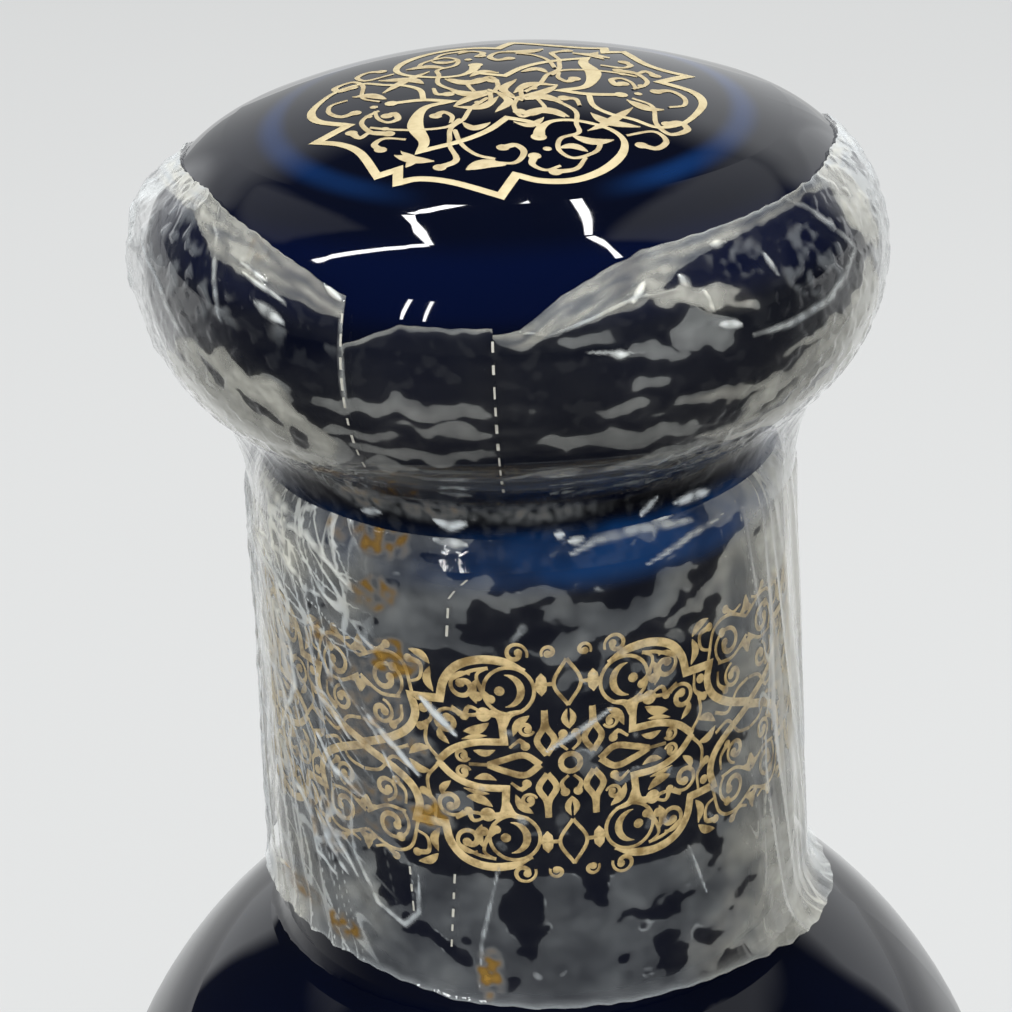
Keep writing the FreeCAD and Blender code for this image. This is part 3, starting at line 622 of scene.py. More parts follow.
BAND_LINES = (
    ([(2.3, 0), (3.5, 0.85), (5, 0.5), (6.3, 0)], 0.55), ([(6.1, 0), (7.8, 0)], FINE_LINE),
    ([(1.8, 0.8), (2.5, 2), (1.95, 3.2), (1.85, 4.6)], 0.5),
    ([(1.8, 0.8), (1.15, 2), (1.75, 3.2), (1.85, 4.6)], 0.5),
    ([(6.4, 4.4), (7.8, 4.2), (9, 4.8)], FINE_LINE), ([(6, 8.2), (7.4, 7.9), (8.9, 7.1)], FINE_LINE),
    ([(12.2, 5.6), (12.9, 8), (14.6, 8.6), (16.97, 7.6)], FINE_LINE),
    ([(10.3, 0.3), (11.2, 1.6), (11, 3.4)], FINE_LINE), ([(13.2, 5), (15, 4.9), (16.9, 6)], FINE_LINE),
    ([(12.7, 0.9), (14.2, 0.4), (15.4, 1.8), (16.9, 2.2)], FINE_LINE),
)
BAND_DOTS = ((6.9, 5.8), (11.3, 4.4), (5.2, 6.3), (13.8, 7.4))
BAND_COPIES = [(((across, 0), (0, up)), (step * BAND_PITCH, 0.0))
               for step in range(BAND_COUNT) for across in (1, -1) for up in (1, -1)]


def crown_straps():
    """Broad straps of half the medallion on the dome; the other half is the same, turned round."""
    gold = Ornament()
    outer_end = (2.4, -8.2)
    outer = cornered_line([(-6.6, -0.8), (-6.9, 1.6), (-8.2, 3.1), (-9.9, 3.8), (-11.8, 4.9), (-13.9, 3.5),
                           (-15.4, 0.3), (-15.8, -2.2), (-15.0, -4.2), (-12.6, -5.6)],
                          [(-12.6, -5.6), (-15.1, -8.7)],
                          [(-15.1, -8.7), (-13.1, -9.5), (-11.5, -11.3), (-10.1, -15.4)],
                          [(-10.1, -15.4), (-8.5, -14.3)],
                          [(-8.5, -14.3), (-8.5, -16.5)],
                          [(-8.5, -16.5), (-6.9, -15.8), (-4.4, -16.2), (-0.7, -18.0)],
                          [(-0.7, -18.0), (0.5, -14.7)],
                          [(0.5, -14.7), (2.4, -15.4), (4.9, -15.0), (7.1, -13.2), (8.6, -10.6), (9.0, -8.2),
                           (8.3, -6.4), (6.8, -5.3), (5.1, -4.8), (3.5, -5.2), (2.6, -6.6), outer_end])
    along = np.linspace(0, 1, len(outer))
    swell = 0.6 + 0.4 * smoothstep(0.16, 0.26, along) - 0.4 * smoothstep(0.80, 0.88, along)
    gold.ribbon(outer, STRAP, swell + 0.6 * smoothstep(0.95, 1.0, along))
    gold.dot(outer_end, 0.62)
    inner_end = (-9.2, -1.3)
    inner = cornered_line([(2.7, -6.4), (1.8, -5.5), (0.0, -4.8)],
                          [(0.0, -4.8), (-1.5, -7.3), (-3.6, -9.3), (-6.8, -11.2)],
                          [(-6.8, -11.2), (-6.5, -9.4), (-7.2, -6.3), (-6.5, -2.8), (-4.4, -1.4)],
                          [(-4.4, -1.4), (-6.6, -0.9), inner_end])
    along = np.linspace(0, 1, len(inner))
    gold.ribbon(inner, STRAP, 0.75 + 0.9 * np.exp(-((along - 0.6) / 0.1) ** 2))
    gold.dot(inner_end, 0.55)
    return gold.copies(HALF_TURNS)


def crown_scrolls():
    """Vines, curls and leaves of half the medallion, and the same turned round."""
    gold = Ornament()
    vines = [(vine, LINE) for vine in CROWN_VINES]
    gold.fill(CROWN_CURLS, CROWN_CURL, CROWN_LEAVES, vines, CROWN_DOTS, CROWN_DOT)
    return gold.copies(HALF_TURNS)


def band_straps():
    """Broad straps of a quarter of one cartouche of the neck's band, mirrored and repeated."""
    gold = Ornament()
    outer = cornered_line([(3.2, 8.0), (4.6, 8.7), (6.6, 8.9), (8.4, 8.3), (9.5, 7.0), (9.9, 5.4)],
                          [(9.9, 5.4), (12.3, 5.3)],
                          [(12.3, 5.3), (12.0, 3.9), (12.6, 2.5), (14.2, 1.3), (16.97, 0.1)])
    gold.ribbon(outer, BAND_STRAP, 0.4 + 0.6 * smoothstep(0, 0.12, np.linspace(0, 1, len(outer))))
    inner = cornered_line([(10.3, 0.0), (9.0, 1.2), (7.2, 1.9), (5.0, 2.0)],
                          [(5.0, 2.0), (5.1, 3.5)],
                          [(5.1, 3.5), (5.4, 4.3), (6.4, 4.4)])
    gold.ribbon(inner, INNER_STRAP)
    gold.dot((6.5, 4.3), 0.6)
    thorn = smooth_line([(5.1, 3.4), (4.5, 4.3), (3.4, 4.6)])
    gold.ribbon(thorn, 0.8, np.linspace(1, 0.3, len(thorn)))
    spindle = [(2.0, height) for height in (5.8, 6.2, 6.75, 7.3, 7.7)]
    gold.ribbon(spindle, 0.90, np.array([0.05, 0.85, 1.0, 0.85, 0.05]))
    return gold.copies(BAND_COPIES)


def band_scrolls():
    """Rings, vines and leaves of a quarter of one cartouche, mirrored and repeated."""
    gold = Ornament()
    gold.ribbon(arc_line((4.5, 6.3), 1.95, 0, 360), FINE_LINE)
    crescent = arc_line((4.9, 6.3), 1.35, 95, 265)
    gold.ribbon(crescent, 0.6, taper(len(crescent), 0.1, 0.7))
    gold.ribbon(smooth_line([(0.0, 4.9), (1.05, 6.8), (0.0, 8.8)]), FINE_LINE)
    gold.ribbon([(0.9, 6.75), (1.8, 6.75), (2.6, 6.75)], 0.32)
    gold.ribbon(arc_line((0.0, 0.0), 0.75, 0, 90), 0.45)
    for scroll in BAND_SCROLLS:
        gold.scroll(*scroll)
    gold.fill(BAND_CURLS, BAND_CURL, BAND_LEAVES, BAND_LINES, BAND_DOTS, BAND_DOT)
    return gold.copies(BAND_COPIES)


crown_straps().lay("crown_gold_straps", on_crown, "stopper", CROWN_STRAP_GOLD, "crown_gilding")
crown_scrolls().lay("crown_gold_scrolls", on_crown, "stopper", CROWN_SCROLL_GOLD, "crown_gilding")
band_straps().lay("band_gold_straps", on_neck, "bottle", BAND_STRAP_GOLD, "neck_gilding")
band_scrolls().lay("band_gold_scrolls", on_neck, "bottle", BAND_SCROLL_GOLD, "neck_gilding")


# The shrink seal

def signed(angle):
    """Angles brought to within half a turn of the front."""
    return (np.asarray(angle) + 180.0) % 360.0 - 180.0


def sheet_columns(start, end, step):
    """Angles across a sheet, close together at the front and wider at the back."""
    angles = [start]
    while angles[-1] < end:
        back = smoothstep(95.0, 130.0, abs(signed(angles[-1])))
        angles.append(angles[-1] + step * (1 + BACK_SPREAD * back))
    return start + (np.array(angles) - start) * ((end - start) / (angles[-1] - start))


def sheet_piece(name, body, angle, radius, height, values):
    """A film sheet from a grid of places, with named numbers at its points; rows run downwards."""
    rows, columns = radius.shape
    index = np.arange(rows * columns).reshape(rows, columns)
    faces = np.stack([index[:-1, :-1], index[1:, :-1], index[1:, 1:], index[:-1, 1:]], axis=-1)
    points = on_round(angle, radius, height).reshape(-1, 3)
    piece = mesh_piece(name, points, faces.reshape(-1, 4).tolist(), body, FILM)
    for key, value in values.items():
        attribute = piece.data.attributes.new(key, "FLOAT", "POINT")
        attribute.data.foreach_set("value", np.asarray(value, np.float32).ravel())
    return piece


# Where the film ends, stands off the glass, whitens along creases, has painted glints or is stained.  A place
# is degrees round from the front and millimetres up.  The first three lines are the torn upper edge; the
# fourth is the hem.
LEFT_EDGE = (
    (-180, 206.3), (-128, 206.6), (-100, 209.6), (-75, 210.4), (-61, 210.5), (-42, 209.3), (-33, 208.2),
    (-24.4, 206.8),
)
STRIP_EDGE = ((-24.4, 203.7), (-16, 205.3), (-3.2, 205.1))
RIGHT_EDGE = (
    (-3.2, 204.7), (0.6, 205), (6.4, 206.9), (12.6, 208.1), (19, 208.9), (38, 209.4), (54, 209.8),
    (75, 210.3), (100, 209.6), (128, 206.6), (180, 206.3),
)
HEM = (
    (-180, 145.4), (-86, 147.6), (-62, 148.5), (-44, 148.2), (-19, 146.4), (3, 145.9), (29, 145.5),
    (45, 145), (54, 144.4), (65, 143.5), (86, 142.7), (180, 145.4),
)
# Width of the roughened band below the torn edge
TORN_BAND = (
    (-180, 1), (-95, 1.6), (-60, 2), (-51, 3.2), (-45, 3.1), (-30, 2.2), (-24.5, 1.7), (-24.3, 0.3),
    (-3.3, 0.3), (-3.1, 0.6), (0.5, 1.4), (10, 2.9), (16, 3.5), (20, 3.3), (24, 1.9), (30, 1.3), (36, 1.1),
    (54, 0.8), (70, 1.6), (95, 1.6), (180, 1),
)

# From here heights on the head count from its widest line, and heights on the neck from the table.
# Ovals: place, half length and half width in millimetres, tilt in degrees
HEAD_GREY = (
    ((14.3, -5.5), (5.6, 1), -3), ((14.9, -2.9), (2, 0.65), 0), ((28, -3.4), (3.9, 0.8), 2),
    ((42.5, -4.9), (3.4, 1.3), 8), ((19.5, 1), (2.6, 0.75), -5), ((18.4, -0.9), (1.3, 0.6), 12),
    ((27, 1.9), (2.4, 1.4), -20), ((-13, -2.3), (5.6, 0.8), 0), ((-9, -4), (3.4, 0.5), 0),
    ((-27, -2.4), (2.6, 0.5), 0), ((-29, -7.2), (1.6, 1.5), 30), ((24, -8.4), (5, 0.8), 6),
    ((4, -8.9), (3, 0.6), 0), ((-20, -8), (2.4, 0.7), -4), ((-36, -1.8), (1.8, 0.5), -20),
    ((9, 2.6), (1.8, 0.6), 0), ((-16, -6.4), (4.6, 0.6), -3), ((-8, -6.2), (2.6, 0.45), 2),
    ((-24, -4.9), (2.6, 0.5), 0),
)
HEAD_PALE = (
    ((-47, -5.6), (9, 5.2), -8), ((26, 4.4), (4.4, 0.9), -17), ((50, -5), (9, 3.3), 14),
    ((36, -7.6), (4, 1), -8), ((62, -2.6), (3.6, 4.6), 0), ((66, 6), (2.4, 3.6), 20),
    ((40, -3.5), (6.6, 0.75), 0), ((50.5, -1.1), (4.2, 0.5), 9),
)
HEAD_DARK = (
    ((-64, 5.4), (7.2, 3.8), 5), ((-49, 2.6), (4.4, 2), -30), ((34.5, 6.2), (2.8, 1.4), -14),
    ((-35, 0.4), (5, 1.4), 4), ((49, 4.2), (4.4, 2.9), -15), ((41.5, -5.6), (3.2, 0.9), 30),
    ((45, 0.9), (3.6, 0.9), 14), ((51, -5.4), (1.8, 0.5), 20), ((57, 1.2), (2.6, 0.7), 20),
    ((-41, -4), (1.9, 0.7), -28), ((-49.5, -2.4), (1.4, 0.7), -40), ((-35.5, -6.2), (1, 1.3), 20),
    ((-58, -2.2), (1.2, 0.4), -30), ((-31, 1.5), (3.4, 2), -10),
)
NECK_GREY = (
    ((13.5, 179.2), (3.4, 1.4), 0), ((9.5, 177.9), (1.3, 1.4), 0), ((28, 180), (4.2, 0.7), 40),
    ((-3, 181.4), (3, 0.6), 0), ((34, 178.4), (3.4, 0.7), 20), ((-10, 182.6), (2.4, 0.4), 8),
    ((22, 166), (2.2, 0.8), 30), ((-16, 164), (2, 0.8), -30), ((26, 173), (2.4, 0.9), 40),
)
NECK_DARK = (
    ((12, 183.4), (8, 1.5), 2), ((11, 156.2), (1.1, 2.2), 12), ((-3.7, 154.6), (1.7, 4), 0),
    ((24, 153.2), (3.2, 0.7), 0), ((26.8, 148.7), (1.2, 2.2), 0), ((40, 145.6), (3.4, 0.9), 8),
    ((-31, 156.6), (1.7, 2.2), 0), ((-46.4, 157.6), (0.7, 2.6), 20), ((-17, 184.2), (1.9, 0.6), 0),
    ((-20, 151), (2.2, 0.7), -30), ((17, 149.5), (0.5, 0.5), 0), ((-12, 179.2), (2, 0.4), 0),
    ((38, 157.5), (0.8, 2.4), 10), ((-3, 174.6), (3.4, 2.2), 0), ((46, 151.5), (1.6, 0.5), 25),
)
# Streaks, partly whitened creases and partly painted glints: width in millimetres, whiteness, points
HEAD_STREAKS = (
    (0.3, 0.95, ((-44.1, 6.5), (-37.9, 5.6))), (0.3, 0.9, ((-43.4, 5.9), (-36.4, 4.9), (-34, 4.4))),
    (0.55, 0.8, ((-39.5, 4), (-34.2, 3.1))), (0.4, 0.9, ((-27.8, 6), (-25, 5.2))),
    (0.45, 0.55, ((-72, 4.2), (-63.3, 2.1), (-57, 0), (-53, -1.4))),
    (0.4, 0.5, ((-55.7, 8.9), (-51.5, 7.8), (-48.8, 4.7), (-46, 2))),
    (0.4, 0.35, ((-68.7, 7.2), (-63.9, 9.4), (-55.2, 9))), (0.28, 0.55, ((-24.6, 5.4), (-24.5, -3))),
    (0.25, 0.6, ((0.5, 3.4), (4.5, 3.1), (10.2, 3.9), (16.9, 5), (25.7, 5))),
    (0.45, 1, ((18.8, 6), (16.3, 4.6))), (0.55, 0.95, ((24.2, 5.9), (25.2, 4.9))),
    (0.45, 0.95, ((27.2, 4.6), (28.2, 3.2))), (0.4, 0.95, ((29.9, 7.5), (32.8, 7.5))),
    (0.5, 0.95, ((28.9, 2.1), (32.5, 1.7))), (0.45, 1, ((12.8, 1.4), (14.7, 1.2))),
    (0.2, 0.5, ((9.5, 1.7), (17.5, 1.2))), (0.3, 0.7, ((38.9, 6.1), (40.5, 4.3))),
    (0.35, 0.4, ((47, 9), (51.2, 8), (55.5, 5.9), (60.6, 3.2))),
    (0.45, 0.5, ((60, 3.4), (50.4, 1.1), (41.2, 0.6), (34.6, 0.7))),
    (0.8, 0.42, ((27, -7), (38.5, -6.6), (48, -3.6), (56, -0.9))),
    # Painted glints on the skirt, in the groove under the head
    (0.6, 1, ((32, -17.2), (37, -17.1), (41, -17.2))), (0.45, 1, ((24, -17.4), (27.5, -16.2))),
    (0.45, 1, ((6, -18), (7.8, -18))), (0.6, 1, ((-18, -16.7), (-15, -17.1), (-11.5, -16.8))),
    (0.5, 0.7, ((-34.5, -16.9), (-30, -16.6))),
)
NECK_STREAKS = (
    (0.5, 0.95, ((-22.7, 172.8), (-15.6, 169.9))), (0.3, 0.6, ((-42.4, 172.9), (-33.5, 169.1), (-29, 165))),
    (0.35, 0.65, ((-36.3, 177.3), (-29.8, 175))), (0.5, 0.85, ((-36, 170.8), (-23.9, 166))),
    (0.3, 0.7, ((-57, 164.6), (-52, 159.4), (-49.2, 156))), (0.35, 0.8, ((-52.5, 162.6), (-39.2, 155.5))),
    (0.3, 0.6, ((-49, 165), (-37.6, 162.7))),
    (0.35, 0.65, ((-40.3, 158.4), (-34.5, 153.6), (-28.7, 152.2), (-25.4, 153.6), (-24.9, 157.1))),
    (0.3, 0.55, ((58.8, 176), (55.5, 165), (54.4, 158.6), (52.9, 146))),
    (0.25, 0.55, ((32, 157.9), (36.1, 153))),
    (0.45, 0.6, ((9.1, 184.5), (14.4, 185.2), (23.1, 185.4), (36.7, 185))),
    (0.35, 0.55, ((24.7, 182.8), (35.6, 184), (44.9, 184.5))), (0.35, 0.65, ((2.5, 168.6), (15.9, 171.6))),
    (0.3, 0.5, ((-8, 158.6), (-12, 152), (-13, 147.5))), (0.4, 1, ((28, 185.7), (33, 185.8))),
    (0.35, 1, ((9, 185.3), (12, 185.4))), (0.45, 1, ((-19, 185.5), (-12, 185.3))),
    (0.45, 0.9, ((-73.5, 185.4), (-64.7, 185), (-51.7, 184.5), (-50.3, 183.4))),
    (0.4, 0.8, ((-75.9, 186), (-66.4, 186.2), (-54.3, 186.2), (-42.9, 185.8))),
    (0.5, 0.9, ((-72.7, 181.6), (-56.8, 181.2), (-49.7, 179.4), (-44.7, 179.4))),
    (0.45, 0.85, ((-72.9, 181.2), (-62.9, 179.3), (-56, 177.6))),
    (0.5, 0.9, ((-61.7, 183.7), (-49.1, 184), (-41.8, 182.4), (-37.7, 181.1))),
    (0.45, 0.85, ((-63.9, 176), (-56.9, 174), (-56.2, 169.9), (-65.5, 164))),
    (0.4, 0.85, ((-48.7, 171), (-43.9, 169.6), (-39.7, 167.7))),
    (0.5, 0.85, ((-63.3, 163.8), (-58.2, 161.1), (-52.3, 159.2), (-50.7, 156.2), (-45.1, 154.9))),
    (0.45, 0.9, ((-49.4, 166.9), (-44.7, 164.7), (-37.2, 162.9))),
    (0.45, 0.85, ((-50.1, 159.6), (-46, 157.3), (-42.1, 155.3))),
    (0.5, 0.8, ((-76.4, 153.6), (-69.8, 151.6), (-64.7, 151.6))),
)
# Stains: place, half width and half height in millimetres, strength
HEAD_STAINS = (
    ((-35, -11.5), (2.2, 1.2), 0.8), ((-41, 7.6), (2, 1), 0.25), ((-33, -15.2), (3, 1.2), 0.4),
    ((-18, -15.6), (4.4, 0.9), 0.34), ((2, -15.8), (5, 0.8), 0.26),
)
NECK_STAINS = (
    ((-30.5, 185), (2.2, 1.2), 0.75), ((-32, 180.8), (2, 1.6), 0.55), ((-28.4, 175.5), (2, 1.7), 0.75),
    ((-21.7, 162.7), (1.6, 1.3), 0.8), ((-10.7, 148.9), (0.9, 2), 0.9), ((-60, 151.2), (3, 1.3), 0.5),
    ((-44, 150.3), (1.8, 1.1), 0.7), ((-44.6, 176.2), (1.8, 1.2), 0.45), ((-41, 185), (1.4, 0.8), 0.45),
    ((-23.7, 168.2), (1.2, 1), 0.5), ((-36, 170.5), (4, 4.5), 0.34), ((-33, 162.5), (3.5, 2.6), 0.36),
    ((-47, 160.5), (3, 4), 0.28),
)


def inside_oval(side, along, girth, place, reach, tilt):
    """How far inside an oval each point lies, in millimetres; less than nothing outside."""
    across = np.radians(side - place[0]) * girth
    up = along - place[1]
    turn = math.radians(tilt)
    long_way = (across * math.cos(turn) + up * math.sin(turn)) / reach[0]
    short_way = (up * math.cos(turn) - across * math.sin(turn)) / reach[1]
    return (1.0 - np.hypot(long_way, short_way)) * min(reach)


def inside_any(side, along, girth, ovals):
    """How far inside the nearest of some ovals each point lies."""
    return np.max([inside_oval(side, along, girth, *oval) for oval in ovals], axis=0)


def roughened(side, along, girth, coarse, fine, seed):
    """The same places pushed about by up to a millimetre, so that patches get uneven edges."""
    around = np.radians(side) * girth
    push, pull = (coarse * perlin(around / 2.4, along / 2.4, seed + step)
                  + fine * perlin(around / 0.9, along / 0.9, seed + 2 + step) for step in (0, 1))
    return side + np.degrees(push / girth), along + pull


def streak_height(side, along, girth, streaks):
    """Whiteness of creases and painted glints along given lines, uneven and thinner towards both ends."""
    around = np.radians(side) * girth
    uneven = np.clip(0.85 + 0.8 * perlin(around / 1.0, along / 1.0, 33), 0.2, 1.0)
    whiteness = np.zeros(np.broadcast(side, along).shape)
    for width, strength, line in streaks:
        knots = np.array(line, float) * (math.radians(girth), 1.0)
        steps = np.diff(knots, axis=0)
        lengths = np.hypot(*steps.T)
        passed = np.cumsum(lengths) - lengths
        for (left, low), (run, rise), length, before in zip(knots, steps, lengths, passed):
            across, up = around - left, along - low
            share = np.clip((across * run + up * rise) / length ** 2, 0, 1)
            off = np.hypot(across - share * run, up - share * rise)
            done = np.clip((before + share * length) / lengths.sum(), 0.02, 0.98)
            half = 0.66 * width * (0.30 + 0.70 * np.sin(np.pi * done) ** 0.7)
            whiteness = np.maximum(whiteness, strength * uneven * np.exp(-(off / half) ** 3))
    return whiteness


def stains_of(side, along, girth, stains):
    """Brown tide marks, patchy within their ovals."""
    patchy = 0.6 + 0.8 * perlin(np.radians(side) * girth / 0.8, along / 0.8, 31)
    depth = np.zeros(np.broadcast(side, along).shape)
    for place, reach, strength in stains:
        inside = inside_oval(side, along, girth, place, reach, 0)
        depth = np.maximum(depth, strength * smoothstep(-0.7, 0.7, inside))
    return np.clip(depth * patchy, 0, 1)


def slung(start, knee, end, share):
    """A slack curve from a start, drawn towards a knee, to an end."""
    return (1 - share) ** 2 * start + 2 * share * (1 - share) * knee + share ** 2 * end


def film_sheet(name, node_name, body, columns, radius, height, relief):
    """Lifts a smooth sheet into its creases and gives it to the scene."""
    run = np.gradient(radius, axis=0)
    fall = np.gradient(height, axis=0)
    length = np.hypot(run, fall)
    down = np.cumsum(length, axis=0) - length
    angle = np.broadcast_to(columns, radius.shape)
    stand, values = relief(signed(angle), height, down)
    out_radius = radius + stand * (-fall / length)
    out_height = height + stand * (run / length)
    piece = sheet_piece(name, body, angle, out_radius, out_height, values)
    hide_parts(node_name)


def head_sheet(name, node_name, start, end, edges):
    """Film round the head from its torn upper edge to the slit over the neck."""
    columns = sheet_columns(start, end, HEAD_STEP)
    side = signed(columns)
    turned = np.abs(side)
    top = np.interp(side, *zip(*edges)) + 0.10 * perlin(columns / 2.6, columns * 0 + 3.0, 1)
    reach = EDGE_RADIUS + FILM_GAP
    first = np.degrees(np.arccos((top - HEAD_WIDEST) / reach))
    leave = CLING_TURN - CLING_LESS * smoothstep(40, 75, turned)
    down = np.linspace(0, 1, HEAD_ROWS)[:, None]
    radius, height = head_profile(np.radians(first + (leave - first) * down), FILM_GAP)
    # The slack skirt between head and neck: drawn into the groove at the front, taut at the sides
    sag = np.linspace(0, 1, SKIRT_ROWS)[1:, None]
    taut = smoothstep(35, 80, turned)
    foot_radius, foot_height = NECK_TOP_RADIUS + 0.95, LIP - 2.6
    knee_radius, knee_height = 19.6 + 2.4 * taut, 187.4 + 0.3 * taut
    radius = np.vstack([radius, slung(radius[-1], knee_radius, foot_radius, sag)])
    height = np.vstack([height, slung(height[-1], knee_height, foot_height, sag)])
    film_sheet(name, node_name, "stopper", columns, radius, height, head_relief)


def head_relief(side, height, down):
    """Folds, grey patches, creases with painted glints and sheen, and stains of the film on the head."""
    reach = EDGE_RADIUS + FILM_GAP
    along = reach * np.arcsin((height[0] - HEAD_WIDEST) / reach) - down
    girth = HEAD_RADIUS
    around = np.radians(side) * girth
    turned = np.abs(side)
    flank = np.maximum(smoothstep(68, 80, -side), smoothstep(56, 72, side))
    slack = np.maximum(smoothstep(24, 40, -side), smoothstep(6, 30, side))
    groove = smoothstep(-10.5, -12.5, along) * (1 - smoothstep(48, 66, turned))
    # Patches that stand off the glass, and dark ones that cling to it
    rough = roughened(side, along, girth, 0.8, 0.2, 50)
    dark = inside_any(*rough, girth, HEAD_DARK)
    pale = inside_any(*rough, girth, HEAD_PALE)
    grey = inside_any(*rough, girth, HEAD_GREY)
    torn = np.interp(side, *zip(*TORN_BAND)) - down
    wave = 0.30 * perlin(around / 2.8, along / 1.4, 2) + 0.14 * perlin(around / 1.1, along / 0.8, 3)
    loose = 0.35 - 0.35 * smoothstep(75, 95, turned) + 0.9 * perlin(around / 4.6, along / 4.0, 9)
    loose = flank * loose - 2.0 * (1 - flank)
    cracks = smoothstep(0.82, 0.95, ridges(around / 5.0 + along / 7.0, along / 2.4 - around / 9.0, 7))
    lift = np.max([grey, loose, pale, torn], axis=0)
    lift = np.minimum(lift, np.where(torn > 0, 9.0, -dark)) + wave
    lift = lift - 3.0 * groove - 0.7 * cracks * smoothstep(0.1, 0.8, loose)
    # Haze: stronger in the torn band and in the pale patches
    grain = np.clip(0.9 + 0.8 * perlin(around / 3.0, down / 0.5, 8), 0, 1.6)
    ragged = smoothstep(-0.3, 0.4, torn)
    whitened = np.maximum(smoothstep(-0.4, 0.5, pale), 0.25 * ragged * smoothstep(20, 28, -side))
    haze = 0.17 + 0.03 * smoothstep(0, -3, along) + (0.20 * grain - 0.13) * ragged + 0.22 * whitened
    haze = haze * (1 - groove)
    haze = haze * (1 - 0.72 * smoothstep(0.1, 1.2, np.where(torn > 0, 0.0, dark)))
    haze = haze * (1 - 0.5 * smoothstep(70, 92, turned))
    # Creases and painted glints, a painted highlight along the torn rim and a faint painted sheen
    streaks = streak_height(side, along, girth, HEAD_STREAKS)
    rim = 0.5 * np.exp(-(down / 0.22) ** 2) * slack
    mottle = perlin(around / 1.7, along / 1.5, 4) + 0.5 * perlin(around / 0.7, along / 0.7, 5)
    mottle = smoothstep(-0.1, 0.5, mottle)
    sheen = 0.13 * mottle * smoothstep(-0.2, 0.6, dark) * smoothstep(1.0, 3.0, along) + 0.02 * mottle
    # How far the sheet itself stands up
    folds = ridges(around / 9.0 + along / 11.0, along / 3.6, 6)
    free = slack * (1 - 0.9 * smoothstep(58, 75, turned))
    bulge = smoothstep(-1.0, 3.0, inside_oval(side, along, girth, (-84, 4.0), (9.0, 5.0), 0))
    stand = (0.03 * wave + 0.10 * slack * mottle + 0.18 * streaks + 0.75 * bulge
             + flank * 0.30 * folds * smoothstep(0.0, 4.0, down) * smoothstep(0, 20, -side)
             + (0.05 + 0.50 * free) * np.exp(-down / 1.6)
             - 0.38 * smoothstep(52, 70, turned) * np.exp(-down / 1.2))
    stand = stand * (1 - 0.7 * smoothstep(-11.0, -13.0, along)) + 0.05
    return stand, {"lift": lift, "haze": haze, "crease": np.max([streaks, rim, sheen], axis=0),
                   "stain": stains_of(side, along, girth, HEAD_STAINS)}


def neck_sheet(name, node_name, start, end):
    """Film down the neck, from over the lip to its uneven hem."""
    columns = sheet_columns(start, end, NECK_STEP)
    side = signed(columns)
    hem = np.interp(side, *zip(*HEM)) + 0.25 * perlin(columns / 4.0, columns * 0 + 7.0, 11)
    wrap = np.radians(np.linspace(*LIP_WRAP, LIP_ROWS))[:, None]
    bend = LIP_ROUND + FILM_GAP
    lip_foot = LIP - LIP_ROUND
    radius = NECK_TOP_RADIUS - LIP_ROUND + bend * np.cos(wrap) + 0 * side
    height = lip_foot + bend * np.sin(wrap) + 0 * side
    below = lip_foot + (hem - lip_foot) * np.linspace(0, 1, NECK_ROWS)[:, None]
    fillet = FILLET_FLARE * np.clip(FILLET_TOP - below, 0, 9) ** 2
    radius = np.vstack([radius, neck_radius(below) + FILM_GAP + fillet])
    height = np.vstack([height, below])
    film_sheet(name, node_name, "bottle", columns, radius, height, neck_relief)


def slanted_ridges(around, height, rise, run, length, width, seed):
    """Crests along a slanting direction, long one way and narrow the other."""
    return ridges((run * around - rise * height) / length, (rise * around + run * height) / width, seed)


